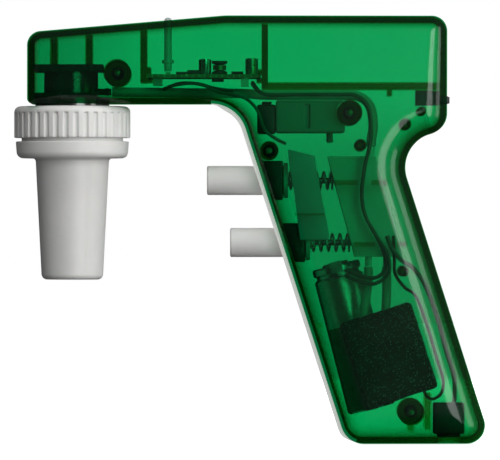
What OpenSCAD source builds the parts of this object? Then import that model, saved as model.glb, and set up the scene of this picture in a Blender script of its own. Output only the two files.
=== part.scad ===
// Motorized pipette controller.
// Origin: centre of the nosecone's mouth. +Z runs up the pipette's axis, +X runs back
// along the arm, and Y = 0 is the plane in which the two housing halves meet.

/* [Housing] */
// Total thickness of the housing, side to side
body_t = 35; // [35:0.5:38]
// Wall thickness of the housing
wall = 2; // [1.8:0.1:2.2]
// Front end of the arm
arm_x0 = -14.7; // [-14.9:0.1:-14.5]
// Rear end of the arm
arm_x1 = 124.67; // [124.4:0.1:126]
// Underside of the arm
arm_z0 = 58.47; // [58.4:0.01:58.5]
// Top of the arm above the nose
arm_front_z = 82.13; // [82:0.1:83]
// Top of the arm along its rear
arm_rear_z = 87.6; // [87.4:0.1:88.5]
// Foot of the handle
foot_z = -54.6; // [-55.2:0.1:-54.6]
// Depth of the handle at its foot
foot_depth = 48.2; // [48:0.1:49]
// Edge rounding between the sides and the arm
arm_edge = 5.5; // [4.5:0.5:6]
// Edge rounding between the sides and the handle
grip_edge = 9; // [8:0.5:10]

/* [Nose] */
// Diameter of the ribbed collar
collar_d = 38.7; // [38.2:0.1:39.2]
// Number of grooves around the collar
collar_grooves = 36; // [24:1:40]
// Diameter of the nosecone's mouth rim
mouth_d = 20.4; // [20:0.1:21]
// Bore that grips the pipette
grip_bore_d = 7.5; // [5:0.1:8]

/* [Buttons] */
// Diameter of the two buttons
button_d = 9.7; // [9:0.1:9.9]
// Height of the upper button's axis
upper_z = 33; // [32.8:0.1:33.2]
// Height of the lower button's axis
lower_z = 12.33; // [12.2:0.01:12.6]
// Tip of the upper button
upper_tip = 44.9; // [44:0.1:48]
// Tip of the lower button
lower_tip = 52.6; // [52:0.1:56]
// Radial running clearance of the buttons
run_gap = 0.08; // [0.05:0.01:0.1]

/* [Hidden] */
$fn = 64;
e = 0.01;
h = body_t / 2;
hin = h - wall;
br = button_d / 2;
foot_x1 = 91.43 + foot_depth;

// Corners of the side profile, clockwise seen from -Y:
// [x, z, corner radius, edge rounding, arc steps]
PROFILE = [
    [arm_x0, arm_front_z, 4.7, arm_edge - 0.5, 6],
    [50.9, arm_rear_z + 0.08, 30, arm_edge, 3],
    [arm_x1, arm_rear_z, 5.1, arm_edge + 0.5, 6],
    [arm_x1, 50.03, 7, 7.5, 6],
    [107.73, 45.2, 11.7, grip_edge + 1, 8],
    [foot_x1, foot_z, 6.1, grip_edge + 2, 6],
    [91.43, foot_z, 7.8, grip_edge, 7],
    [55.07, arm_z0, 12, grip_edge - 1, 8],
    [arm_x0, arm_z0, 1.7, arm_edge - 0.5, 3]];
PN = len(PROFILE);

function pick(i) = let (q = PROFILE[(i + PN) % PN]) [q[0], q[1]];
function inward(a, b) = let (u = (b - a) / norm(b - a)) [u[1], -u[0]];
// The points of corner i when the profile is moved inward by d
function corner(i, d) = let (
    q = PROFILE[i], p = pick(i), n1 = inward(pick(i - 1), p), n2 = inward(p, pick(i + 1)),
    cr = n1[0] * n2[1] - n1[1] * n2[0], convex = cr < 0,
    rr = convex ? max(q[2] - d, 0.3) : q[2] + d,
    s = convex ? d + rr : d - rr,
    c = p + (n1 + n2) * s / (1 + n1 * n2),
    a1 = atan2(n1[1], n1[0]), da = atan2(cr, n1 * n2), g = convex ? -1 : 1)
    [for (j = [0:q[4]]) let (a = a1 + da * j / q[4]) c + g * rr * [cos(a), sin(a)]];
// One loop of the housing's skin: t runs from 0 at the side wall to 90 at the side face
function skin(t, w) = [for (i = [0:PN - 1]) let (r = PROFILE[i][3],
    d = w + (r - w) * (1 - cos(t)), y = -(h - r) - (r - w) * sin(t))
    for (p = corner(i, d)) [p[0], y, p[1]]];
function rim(w) = [for (i = [0:PN - 1]) for (p = corner(i, w)) [p[0], 0, p[1]]];

function first(i) = i == 0 ? 0 : first(i - 1) + PROFILE[i - 1][4] + 1;
// Triangles of a loop's flat face: the handle, the arm, and the strip between the two
// hollow corners, where the handle joins the arm
function flat_face() = let (b = first(4), m = PROFILE[4][4], a = first(7),
    q = concat([for (i = [a + m + 1:first(8) + PROFILE[8][4]]) i], [for (i = [0:b]) i]))
    concat([for (j = [0:m - 1]) each [[b + m - 1 - j, b + m - j, a + j],
            [b + m - 1 - j, a + j, a + j + 1]]],
        [for (i = [b + m:a - 2]) [i, i + 1, a]],
        [for (i = [0:len(q) - 2]) [a + m, q[i], q[i + 1]]]);
function flip(f) = [for (t = f) [t[2], t[1], t[0]]];
function shift(f, k) = [for (t = f) t + [k, k, k]];

// One hollow half of the housing, on the -Y side
module half_skin() {
    T = [for (k = [0:5]) 18 * k];
    loops = concat([for (k = [5:-1:0]) skin(T[k], wall)], [rim(wall), rim(0)],
        [for (t = T) skin(t, 0)]);
    n = len(loops[0]);
    m = len(loops);
    pts = [for (l = loops) for (p = l) p];
    sides = [for (k = [0:m - 2]) for (j = [0:n - 1]) let (j2 = (j + 1) % n,
        a = k * n + j, b = k * n + j2, c = (k + 1) * n + j2, d = (k + 1) * n + j)
        each [[a, b, c], [a, c, d]]];
    polyhedron(pts, concat(flip(flat_face()), sides, shift(flat_face(), (m - 1) * n)),
        convexity = 10);
}

// Front line of the handle: X of the outer wall at height z, moved inward by d
function front_x(z, d = 0) = let (a = pick(6), b = pick(7), n = inward(a, b))
    b[0] + (b[1] - z) * (a[0] - b[0]) / (b[1] - a[1]) + d / n[0];

// Path of the front trim at depth d, tapering into the housing at both ends
function trim_path(d) = concat(
    [for (j = [2:7]) let (f = min(1, (j - 2) / 4)) corner(6, d > 0 ? d : d < -2 ? d : d * f)[j]],
    [for (j = [0:8]) let (f = min(1, (8 - j) / 3)) corner(7, d > 0 ? d : d < -2 ? d : d * f)[j]]);
// The path with both its ends drawn out by x
function drawn_out(q, x) = let (n = len(q)) [for (i = [0:n - 1])
    q[i] + (i == 0 ? x * unit(q[0] - q[1]) : i == n - 1 ? x * unit(q[i] - q[i - 1]) : [0, 0])];
module trim_plate(out, depth, half, x = 0) {
    a = drawn_out(trim_path(-out), x);
    b = drawn_out(trim_path(depth), x);
    translate([0, half, 0]) rotate([90, 0, 0])
        linear_extrude(2 * half) polygon(concat(a, [for (k = [len(b) - 1:-1:0]) b[k]]));
}

// Places of the four screw bosses: [x, z, outer radius, depth of the outer end]
BOSSES = [[15.13, 68.67, 4.5, 1], [92.33, 55.5, 4.2, 1], [112.73, -44, 4.4, 1], [65.6, 42.9, 3.1, 3.3]];
// Places of the four locating posts: [x, z, radius]
POSTS = [[95.97, 44.7, 2], [110.9, 51.6, 1.9], [116.25, 56, 1.5], [110.14, 2.77, 1.8]];
// Places of ribs that both halves carry: [x0, x1, z0, z1, depth from the wall]
RIBS = [
    [-7.1, -5.0, 71.6, 80.5, 12], [4.6, 6.7, 71.6, 81.5, 12],
    [22.8, 24.9, 65.5, 83.8, 12], [24.8, 26.8, 65.6, 66.95, 12], [24.8, 26.2, 68.3, 70.6, 12],
    [63.1, 65.2, 63.4, 85, 12], [61.4, 63.2, 65.6, 66.95, 12], [61.8, 63.2, 68.3, 69.8, 12],
    [65, 121.5, 63.3, 65.5, 10], [105, 106.4, 61.2, 63.4, 10],
    [117.3, 119.4, -50, -37.8, 7], [111.7, 113.7, -50.5, -47.6, 7]];

// A rod along Y
module ybar(x, z, r, y0, y1) {
    translate([x, y1, z]) rotate([90, 0, 0]) cylinder(h = y1 - y0, r = r);
}
// A rod along X
module xbar(x0, x1, z, r, y = 0) {
    translate([x0, y, z]) rotate([0, 90, 0]) cylinder(h = x1 - x0, r = r);
}
// A block between two corners
module block(x, y, z) {
    translate([x[0], y[0], z[0]]) cube([x[1] - x[0], y[1] - y[0], z[1] - z[0]]);
}

// Everything that is cut through both halves
module housing_cuts() {
    trim_plate(3, 1.05, 7.05, 0.15);
    xbar(front_x(upper_z) - 4, front_x(upper_z) + 6, upper_z, br + 0.3);
    xbar(front_x(lower_z) - 4, front_x(lower_z) + 6, lower_z, br + 0.3);
    translate([0, 0, arm_z0 - 2]) cylinder(h = 6, r = 12.4, $fn = 72);
    translate([31.9, 0, 80]) cylinder(h = 10, r = 1.32);
    block([118, 128], [-4.6, 4.6], [58.32, 61.18]);
    translate([125.4, 0, foot_z - 2]) cylinder(h = 6, r = 4.2);
}

// Half of the housing with its bosses, posts and ribs, on the -Y side
module half_body() {
    difference() {
        union() {
            half_skin();
            for (b = BOSSES) ybar(b[0], b[1], b[2], -h + b[3], -0.02);
            for (p = POSTS) ybar(p[0], p[1], p[2], -h + 1, -0.02);
            for (r = RIBS) hull() block([r[0], r[1]], [-h + 1.3, -h + 1.3 + r[4]], [r[2], r[3]]);
        }
        housing_cuts();
    }
}

module left_shell() {
    $fn = 24;
    color([0.0, 0.62, 0.33, 0.5]) difference() {
        union() {
            half_body();
            // long thin rib and its end frame beside the lower button
            block([74, 84], [-h + 1, -11], [21.4, 22.1]);
            block([81.4, 84.4], [-h + 3.1, -10], [-16.1, -14.5]);
            // ribs across the handle, with a gap for the wires
            block([87.4, 95], [-h + 1.3, -9.9], [31.5, 33]);
            block([99.6, 104.8], [-h + 1.3, -9.9], [31.5, 33]);
            block([93.7, 100.6], [-h + 1.3, -9.9], [11, 12.5]);
            block([108.1, 111.4], [-h + 1.3, -9.9], [11, 12.5]);
        }
        for (b = BOSSES) ybar(b[0], b[1], 1.25, -14, 1);
        for (p = POSTS) ybar(p[0], p[1], 0.8, -4, 1);
    }
}

module right_shell() {
    $fn = 24;
    color([0.0, 0.62, 0.33, 0.5]) difference() {
        union() {
            mirror([0, 1, 0]) half_body();
            for (p = POSTS) ybar(p[0], p[1], 0.75, -3, 1);
            // cable ribs across the handle
            block([87.4, 95], [7.6, h - 1.3], [31.5, 33]);
            block([99.6, 104.8], [7.6, h - 1.3], [31.5, 33]);
            block([106.2, 111.4], [7.6, h - 1.3], [11, 12.5]);
        }
        for (b = BOSSES) {
            ybar(b[0], b[1], 1.4, -1, h + 1);
            ybar(b[0], b[1], 2.5, 8.15, h + 1);
        }
    }
}

module front_trim() {
    color("whitesmoke") difference() {
        trim_plate(1.1, 1, 7);
        xbar(front_x(upper_z) - 6, front_x(upper_z) + 6, upper_z, br + run_gap);
        xbar(front_x(lower_z) - 6, front_x(lower_z) + 6, lower_z, br + run_gap);
    }
}

// Pan-head screws with a hexagon socket, put in from the +Y side
module housing_screws() {
    color("silver") for (b = BOSSES) difference() {
        union() {
            ybar(b[0], b[1], 1.2, -11, 8.5);
            ybar(b[0], b[1], 2.3, 8.2, 9.95);
            ybar(b[0], b[1], 1.2, 8, 9);
        }
        translate([b[0], 10.1, b[1]]) rotate([90, 0, 0]) cylinder(h = 1.2, r = 1.1, $fn = 6);
    }
}

// Black carrier of the nose: threaded spigot below, air receiver and plate above
module nose_mount() {
    color([0.08, 0.09, 0.09]) difference() {
        union() {
            translate([0, 0, 50.5]) cylinder(h = 10.2, r = 12.3);
            block([-12.5, 8.4], [-11.3, 11.3], [arm_z0 + wall + 0.08, 62.1]);
            translate([-0.4, 0, 62]) cylinder(h = 7.2, r = 9);
            block([-12.5, 10.4], [-12, 12], [69.1, 71.5]);
            xbar(8, 13, 62.5, 1.1);
            xbar(11, 12.2, 62.5, 1.3);
        }
        translate([0, 0, 50]) cylinder(h = 5.5, r = 9);
        translate([0, 0, 50]) cylinder(h = 8, r = 3);
        translate([-0.4, 0, 57.9]) cylinder(h = 9.6, r = 6.8);
        xbar(5, 14, 62.5, 0.6);
    }
}

module nose_seal() {
    color([0.2, 0.2, 0.2]) translate([0, 0, 53]) difference() {
        cylinder(h = 2.45, r = 8.95);
        translate([0, 0, -1]) cylinder(h = 5, r = 2.6);
    }
}

// White cone with a ribbed flange's seat and a snap lip
module nosecone() {
    mr = mouth_d / 2;
    color("gainsboro") rotate_extrude($fn = 96) polygon(concat(
        [[6.3, 0], [mr - 1.7, 0]],
        [for (a = [15:15:90]) [mr - 1.7 + 1.7 * sin(a), 1.7 - 1.7 * cos(a)]],
        [[12.25, 40.4], [16.4, 40.4]],
        [for (a = [15:15:90]) [16.4 + 2.2 * sin(a), 42.6 - 2.2 * cos(a)]],
        [[18.83, 46], [16.9, 46], [16.9, 48.8], [17.3, 49], [17.3, 51], [13.6, 51],
        [13.6, 41.5], [10.2, 41.5], [8.3, 2.2], [6.3, 2.2]]));
}

// Soft silicone holder that grips the pipette's mouthpiece
module pipette_holder() {
    g = grip_bore_d / 2;
    color([0.75, 0.78, 0.76]) difference() {
        rotate_extrude($fn = 96) polygon([[0, 2.4], [8.05, 2.4], [9.8, 41.6], [13.4, 41.6],
            [13.4, 43.4], [0, 43.4]]);
        translate([0, 0, -1]) cylinder(h = 32, r = g);
        translate([0, 0, 30]) cylinder(h = 20, r = 2.6);
        translate([0, 0, 2.3]) cylinder(h = 2, r1 = g + 1.6, r2 = g - 0.4);
        for (z = [26, 31]) translate([0, 0, z]) rotate_extrude() translate([9.6, 0]) circle(r = 0.9, $fn = 24);
    }
}

module filter_housing() {
    color([0.93, 0.94, 0.95]) rotate_extrude($fn = 96) polygon([[1.2, 37], [2.5, 37], [2.5, 43.5],
        [12.2, 43.5], [12.6, 43.9], [12.6, 47.9], [12.2, 48.3], [2.4, 48.3], [2.4, 54.5],
        [1.2, 54.5], [1.2, 47.2], [10.8, 46.9], [10.8, 46.3], [11.5, 46.3], [11.5, 45.7],
        [10.8, 45.7], [10.8, 44.8], [1.2, 44.5]]);
}

module filter_membrane() {
    color("white") translate([0, 0, 45.85]) cylinder(h = 0.3, r = 11.4);
}

// Union nut that pulls the nosecone up onto the spigot
module collar_ring() {
    R = collar_d / 2;
    color("gainsboro") difference() {
        rotate_extrude($fn = 96) polygon(concat(
            [[12.38, 51.5], [17.6, 51.5], [17.6, 48.75], [16.98, 48.55], [16.98, 47.2],
            [R - 0.15, 47.2], [R, 47.35], [R, 55.7]],
            [for (a = [15:15:90]) [R - 2 + 2 * cos(a), 55.7 + 2 * sin(a)]], [[12.38, 57.7]]));
        for (k = [0:collar_grooves - 1]) rotate([0, 0, 360 / collar_grooves * (k + 0.5)])
            translate([R + 0.25, 0, 46]) cylinder(h = 9.4, r = 0.75, $fn = 24);
    }
}

// A button: white cap, collar that stops it behind its guide, socket for the stem
module button(tip, stop, z) {
    color("gainsboro") translate([tip, 0, z]) rotate([0, 90, 0]) rotate_extrude() polygon(concat(
        [[0, 0], [br - 0.7, 0]],
        [for (a = [22.5:22.5:90]) [br - 0.7 + 0.7 * sin(a), 0.7 - 0.7 * cos(a)]],
        [[br, stop - tip], [br + 1, stop - tip], [br + 1, stop - tip + 1.5],
        [2, stop - tip + 1.5], [2, stop - tip + 3], [1.02, stop - tip + 3],
        [1.02, stop - tip - 6], [0, stop - tip - 6]]));
}
module upper_button() { button(upper_tip, 70.4, upper_z); }
module lower_button() { button(lower_tip, 77.8, lower_z); }

// A steel stem that opens the valve behind its button
module stem(x0, x1, z) {
    color("silver") translate([x0, 0, z]) rotate([0, 90, 0]) rotate_extrude() polygon([[0, 0], [1, 0],
        [1, x1 - x0 - 0.6], [0.5, x1 - x0], [0, x1 - x0]]);
}
module upper_stem() { stem(64.5, 97, upper_z); }
module lower_stem() { stem(71.9, 102.6, lower_z); }

// Bushing block behind the front wall in which a button slides
module button_guide(z, x1) {
    color([0.1, 0.11, 0.1]) difference() {
        union() {
            translate([0, 6.4, 0]) rotate([90, 0, 0]) linear_extrude(12.8) polygon([
                [front_x(z + 6.5, wall + 0.1), z + 6.5], [x1, z + 6.5], [x1, z - 6.5],
                [front_x(z - 6.5, wall + 0.1), z - 6.5]]);
            block([front_x(z + 6.5, wall + 0.4), x1 - 2.4], [-3, 3], [z + 6.4, z + 7.8]);
        }
        xbar(front_x(z) - 5, x1 + 5, z, br + run_gap);
    }
}
module upper_button_guide() {
    difference() {
        button_guide(upper_z, 70.2);
        block([60, 75], [-10, 10], [39.55, 42]);
    }
}
module lower_button_guide() { button_guide(lower_z, 77.6); }

function unit(v) = v / norm(v);
// A bent tube through a list of centre points, closed at both ends
module sweep(path, r, sides = 8) {
    n = len(path);
    tan_ = [for (i = [0:n - 1]) unit(path[min(i + 1, n - 1)] - path[max(i - 1, 0)])];
    pts = [for (i = [0:n - 1]) let (t = tan_[i], u = unit(cross(t, [0, 1, 0])), v = cross(u, t))
        for (k = [0:sides - 1]) path[i] + r * (cos(360 * k / sides) * u + sin(360 * k / sides) * v)];
    polyhedron(pts, concat([[for (k = [sides - 1:-1:0]) k]],
        [for (i = [0:n - 2]) for (k = [0:sides - 1]) let (k2 = (k + 1) % sides,
            a = i * sides + k, b = i * sides + k2, c = (i + 1) * sides + k2, d = (i + 1) * sides + k)
            each [[a, b, c], [a, c, d]]],
        [[for (k = [0:sides - 1]) (n - 1) * sides + k]]), convexity = 10);
}
// A smooth path through the given points, m steps between neighbours
function spline(p, m = 4) = let (n = len(p)) [for (i = [0:n - 2]) for (j = [0:(i == n - 2 ? m : m - 1)])
    let (t = j / m, a = p[max(i - 1, 0)], b = p[i], c = p[i + 1], d = p[min(i + 2, n - 1)])
    0.5 * (2 * b + (c - a) * t + (2 * a - 5 * b + 4 * c - d) * t * t + (3 * b - a - 3 * c + d) * t * t * t)];

// A compression spring along X with closed ends
module coil(x0, x1, z, R, r, turns) {
    steps = 14;
    n = turns * steps;
    path = [for (i = [0:n]) let (t = i / n, a = 360 * turns * t, end = 0.1,
        s = t < end ? 0.25 * t : t > 1 - end ? 1 - 0.25 * (1 - t)
            : 0.25 * end + (t - end) * (1 - 0.5 * end) / (1 - 2 * end))
        [x0 + r + (x1 - x0 - 2 * r) * s, R * cos(a), z + R * sin(a)]];
    radial = [for (i = [0:n]) let (a = 360 * turns * i / n) [0, cos(a), sin(a)]];
    sides = 6;
    tan_ = [for (i = [0:n]) unit(path[min(i + 1, n)] - path[max(i - 1, 0)])];
    pts = [for (i = [0:n]) let (u = radial[i], v = unit(cross(u, tan_[i])))
        for (k = [0:sides - 1]) path[i] + r * (cos(360 * k / sides) * u + sin(360 * k / sides) * v)];
    color("dimgray") polyhedron(pts, concat([[for (k = [0:sides - 1]) k]],
        [for (i = [0:n - 1]) for (k = [0:sides - 1]) let (k2 = (k + 1) % sides,
            a = i * sides + k, b = i * sides + k2, c = (i + 1) * sides + k2, d = (i + 1) * sides + k)
            each [[a, c, b], [a, d, c]]],
        [[for (k = [sides - 1:-1:0]) n * sides + k]]), convexity = 10);
}
module upper_spring() { coil(71.95, 87.1, upper_z, 2.85, 0.35, 7); }
module lower_spring() { coil(79.35, 92.75, lower_z, 2.85, 0.35, 6); }

// Sloping block that holds both valves, with barbs above and below
module valve_body() {
    color([0.65, 0.8, 0.76]) difference() {
        union() {
            translate([0, 7, 0]) rotate([90, 0, 0]) linear_extrude(14)
                polygon([[85, 41], [101, 41], [110.2, 7.6], [94.1, 7.6]]);
            translate([99.7, 4, 40.9]) cylinder(h = 3.4, r = 1.1);
            for (x = [98.6, 104.6]) translate([x, -4.5, 4.4]) cylinder(h = 3.3, r = 1.1);
        }
        xbar(84, 102.6, upper_z, 1.08);
        xbar(90, 108, lower_z, 1.08);
        xbar(80, 87.25, upper_z, 3.5);
        xbar(88, 92.9, lower_z, 3.5);
        xbar(89.4, 96, upper_z, 2.5);
        xbar(95, 101.6, lower_z, 2.5);
        translate([99.7, 4, 30]) cylinder(h = 16, r = 0.6);
        for (x = [98.6, 104.6]) translate([x, -4.5, 3]) cylinder(h = 12, r = 0.6);
    }
}

module valve_seals() {
    color([0.15, 0.15, 0.15]) for (s = [[89.5, upper_z], [92.4, upper_z], [95.1, lower_z], [98, lower_z]])
        translate([s[0], 0, s[1]]) rotate([0, 90, 0]) difference() {
            cylinder(h = 1.6, r = 2.46);
            translate([0, 0, -1]) cylinder(h = 4, r = 1.06);
        }
}

// Flat bracket that ties the two button guides to the valve body
module valve_bracket() {
    color([0.25, 0.42, 0.42]) difference() {
        union() {
            translate([0, -8, 0]) rotate([90, 0, 0]) linear_extrude(1.4) polygon([[71.8, 43.3],
                [80.7, 41.1], [81.6, 34.8], [85.6, 14.7], [85.2, 13.2], [75.9, 13.2], [75.4, 16.9],
                [74, 28.6], [72.5, 36]]);
            block([72.6, 79], [-8.4, -6.6], [40.4, 41.4]);
        }
        ybar(76.2, 38.4, 1.1, -11, -6);
        ybar(80.4, 17, 1.1, -11, -6);
    }
}

// Grey air manifold under the arm, notched around the rear screw boss
module air_manifold() {
    color([0.34, 0.37, 0.36]) difference() {
        union() {
            block([67.8, 90.7], [-9, 9], [48.8, 59.6]);
            translate([85.8, 2, 45.6]) cylinder(h = 3.3, r = 1.1);
        }
        ybar(92.33, 55.5, 4.4, -12, 12);
        block([77.2, 79.2], [-10, -7.6], [50.2, 58.2]);
        block([69.4, 86], [-7.2, 7.2], [50.4, 58]);
        translate([85.8, 2, 44]) cylinder(h = 8, r = 0.6);
    }
}

module manifold_cap() {
    color([0.06, 0.07, 0.06]) union() {
        block([61.6, 67.75], [-8, 8], [48.5, 58.2]);
        block([63.2, 66.4], [-6, 6], [58.1, 59.2]);
    }
}

module main_hose() {
    color([0.55, 0.6, 0.58]) difference() {
        sweep(spline([[13.3, 0, 62.5], [20, 0.6, 62.4], [28, 3, 62.4], [38, 5, 62.3], [56, 5, 62.1],
            [64, 5, 61.6], [75, 5, 61.55], [90, 5, 61.55], [95.6, 5, 61.1], [99.2, 5, 58], [100.4, 5, 52],
            [99.8, 4.2, 47], [99.7, 4, 44.5]], 3), 1.6);
    }
}

module pump_hoses() {
    color([0.55, 0.6, 0.58]) {
        sweep(spline([[98.6, -4.5, 4.2], [98.6, -4.8, 0], [97.8, -7.6, -6], [96.9, -8.3, -11.8],
            [97.5, -8.3, -13.2]], 3), 1.5);
        sweep(spline([[104.6, -4.5, 4.2], [104.7, -4.8, 0], [104.6, -7.6, -5.4], [104.4, -8.3, -9.6],
            [104.9, -8.3, -11]], 3), 1.5);
    }
}

// Circuit board in the arm
module control_board() {
    color([0.05, 0.3, 0.14]) difference() {
        block([25.2, 62.8], [-12, 12], [67, 68.2]);
        for (y = [-10, 10]) for (x = [29, 60]) translate([x, y, 60]) cylinder(h = 10, r = 0.9);
    }
}

module board_chips() {
    color([0.06, 0.06, 0.07]) {
        block([34.5, 40.5], [3, 9], [68.25, 69.3]);
        block([53, 57], [2, 6], [68.25, 69.4]);
        block([38.4, 43], [-10, -6.5], [68.25, 69.6]);
        block([46.5, 50.5], [-2, 3], [65.9, 66.95]);
    }
}

module inductor_core() {
    color([0.12, 0.12, 0.12]) translate([49.1, -4.5, 68.25]) rotate_extrude() polygon([[0, 0], [2.6, 0],
        [2.6, 0.8], [1.3, 1.4], [1.3, 3.1], [2.6, 3.7], [2.6, 4.5], [0, 4.5]]);
}

module inductor_winding() {
    color([0.7, 0.4, 0.2]) translate([49.1, -4.5, 69.7]) difference() {
        cylinder(h = 1.6, r = 2.2);
        translate([0, 0, -1]) cylinder(h = 4, r = 1.32);
    }
}

module capacitors() {
    color([0.2, 0.22, 0.3]) for (y = [-2.6, 7.5]) translate([y > 0 ? 44.2 : 59.8, y, 68.25]) {
        cylinder(h = 5.2, r = 2.1);
        translate([0, 0, 5.1]) cylinder(h = 0.3, r = 1.6);
    }
}

module board_connectors() {
    color([0.9, 0.9, 0.86]) {
        block([56.2, 58.8], [-11, -3], [64.2, 66.95]);
        block([27, 30], [-6, 4], [64.6, 66.95]);
    }
}

module status_led() {
    color([0.9, 0.95, 0.8]) block([31.1, 32.7], [-0.8, 0.8], [68.25, 69.2]);
}

// Clear pipe that carries the status light to the top of the arm
module light_pipe() {
    color([0.9, 0.95, 0.95]) translate([31.9, 0, 0]) union() {
        translate([0, 0, 69.4]) cylinder(h = 16.9, r = 1.25);
        translate([0, 0, 72]) cylinder(h = 1.2, r = 2);
        translate([0, 0, 86.2]) scale([1, 1, 0.9]) sphere(r = 1.25, $fn = 24);
    }
}

module board_lead() {
    color([0.12, 0.12, 0.13]) {
        sweep(spline([[30.6, -2, 63.2], [33.5, -7, 64.4], [39.2, -9, 65.2], [44.2, -9.4, 64.4], [48, -9.8, 62.6],
            [53, -10.3, 61.4], [58, -10.8, 60], [61.8, -11.2, 56], [64, -11.2, 50], [67.4, -11, 47],
            [71, -9.4, 45.2]], 3), 0.55, 6);
        sweep(spline([[30.6, 0, 63.6], [36, -4.6, 65.3], [42, -6.6, 65.1], [47.6, -7.2, 63.6],
            [54, -12.2, 62.6]], 3), 0.55, 6);
    }
}

// The pair of wires from the board down to the battery
module battery_lead() {
    color([0.1, 0.1, 0.1]) for (s = [0, 1]) sweep(spline([[60, -5.2 - 1.8 * s, 65.6 - 0.6 * s],
        [64, -9.4 - 1.7 * s, 61.6], [75, -11 - 1.7 * s, 61.4], [88, -11 - 1.7 * s, 61.4],
        [94.4, -11 - 1.7 * s, 61.1], [98.4, -11 - 1.7 * s, 57.4], [99.4, -11 - 1.7 * s, 50],
        [98.9, -11 - 1.7 * s, 44.4], [97.2, -11 - 1.7 * s, 37], [96.3, -11 - 1.7 * s, 28],
        [97.6, -11 - 1.7 * s, 21], [101.2, -11 - 1.7 * s, 14.4], [103.8 + s, -10.4 - 1.7 * s, 8.6],
        [104 + 1.2 * s, -9.8 - 1.6 * s, 3.4 - s], [100.6, -9.4 - 1.2 * s, 0.6 - 1.9 * s],
        [95, -6.8 - s, 1.6 - 2 * s], [91.2, -3.6 - 0.8 * s, 3.2 - 2 * s]], 2), 0.65, 6);
}

module charge_lead() {
    color([0.1, 0.1, 0.1]) sweep(spline([[104.6, -13.4, 14.6], [106.6, -13.2, 9.8], [109.6, -12.8, 6.4],
        [113.6, -12, 3.6], [117.4, -10.5, -2], [121.2, -8.5, -11.8], [124.4, -6.5, -23.5],
        [127, -4.6, -32], [127.4, -2, -38.4], [127.2, -1, -40.6]], 3), 0.75, 8);
}

module motor_lead() {
    color([0.15, 0.05, 0.05]) sweep(spline([[106.8, -10.6, 14.6], [107.1, -10.6, 7], [107.4, -10.4, 2],
        [110.4, -10.4, -2.4], [114.2, -10.4, -5.4], [117.6, -10.4, -14], [121.2, -10.2, -26],
        [123.3, -9.4, -33], [122.8, -8.6, -37.6], [120, -8.4, -39.6], [117.7, -8.35, -38.4],
        [116.8, -8.35, -35.6]], 3), 0.55, 6);
}

// Frame of the pump: x across the handle, z up along it
module pump_frame() {
    translate([105.2, 0, -25.2]) rotate([0, -18, 0]) children();
}
PY = -8.35;

// Foam wrap that deadens the pump
module pump_foam() {
    color([0.16, 0.18, 0.17]) pump_frame() difference() {
        block([-12.5, 12.5], [-15.2, -1.5], [-15, 15]);
        block([-10.6, 10.6], [-14, -2.7], [-13.2, 13.2]);
        for (x = [-4, 4]) translate([x, PY, 12]) cylinder(h = 5, r = 1.75);
        translate([7.6, PY, -17]) cylinder(h = 5, r = 1.2);
    }
}

module pump_head() {
    color([0.5, 0.52, 0.5]) pump_frame() difference() {
        union() {
            block([-9, 9], [PY - 5.2, PY + 5.2], [6.4, 11.2]);
            for (x = [-4, 4]) translate([x, PY, 11.1]) cylinder(h = 1.9, r = 1);
        }
        translate([0, PY, 6]) cylinder(h = 2.6, r = 4.2);
        for (x = [-4, 4]) translate([x, PY, 7.4]) cylinder(h = 6, r = 0.5);
    }
}

module pump_diaphragm() {
    color([0.1, 0.1, 0.1]) pump_frame() translate([0, PY, 5.6]) {
        cylinder(h = 0.75, r = 5);
        cylinder(h = 2, r = 1.6);
    }
}

module motor_can() {
    color("silver") pump_frame() translate([0, PY, -12]) difference() {
        cylinder(h = 13, r = 5.4);
        translate([0, 0, -1]) cylinder(h = 13.4, r = 5);
        cylinder(h = 20, r = 0.8);
    }
}

module motor_magnets() {
    color([0.25, 0.22, 0.22]) pump_frame() translate([0, PY, -9.4]) difference() {
        cylinder(h = 9, r = 4.95);
        translate([0, 0, -1]) cylinder(h = 12, r = 4);
        translate([-8, -0.9, -1]) cube([16, 1.8, 12]);
    }
}

module motor_end_cap() {
    color([0.1, 0.1, 0.12]) pump_frame() translate([0, PY, -12.2]) difference() {
        union() {
            cylinder(h = 1.9, r = 4.95);
            translate([0, 0, -0.4]) cylinder(h = 0.8, r = 2);
        }
        translate([0, 0, 0.6]) cylinder(h = 4, r = 0.8);
    }
}

module motor_terminals() {
    color("gold") pump_frame() for (x = [-3.2, 2.6]) block([x, x + 0.6], [PY - 1, PY + 1], [-13.1, -12.22]);
}

// Wound rotor of the motor
module motor_armature() {
    color([0.6, 0.35, 0.2]) pump_frame() translate([0, PY, -9]) difference() {
        union() {
            cylinder(h = 7.6, r = 3.6);
            translate([0, 0, -1]) cylinder(h = 9.8, r = 2);
        }
        translate([0, 0, -2]) cylinder(h = 14, r = 0.76);
        for (a = [0:120:240]) rotate([0, 0, a]) translate([3.5, -0.45, -1]) cube([2, 0.9, 12]);
    }
}

module motor_shaft() {
    color("silver") pump_frame() translate([0, PY, -11.4]) cylinder(h = 16, r = 0.75);
}

// Offset disc that drives the pump's diaphragm
module eccentric() {
    color([0.85, 0.85, 0.8]) pump_frame() difference() {
        union() {
            translate([0.8, PY, 2]) cylinder(h = 2.4, r = 3);
            translate([0, PY, 1.5]) cylinder(h = 1, r = 1.6);
        }
        translate([0, PY, 0]) cylinder(h = 8, r = 0.76);
    }
}

// Frame of the battery cell: its top is at z = 0
BY = hin - 8.25 - 0.15;
module cell_frame() {
    translate([87.7, BY, 5.2]) rotate([0, -14.4, 0]) children();
}

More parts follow.
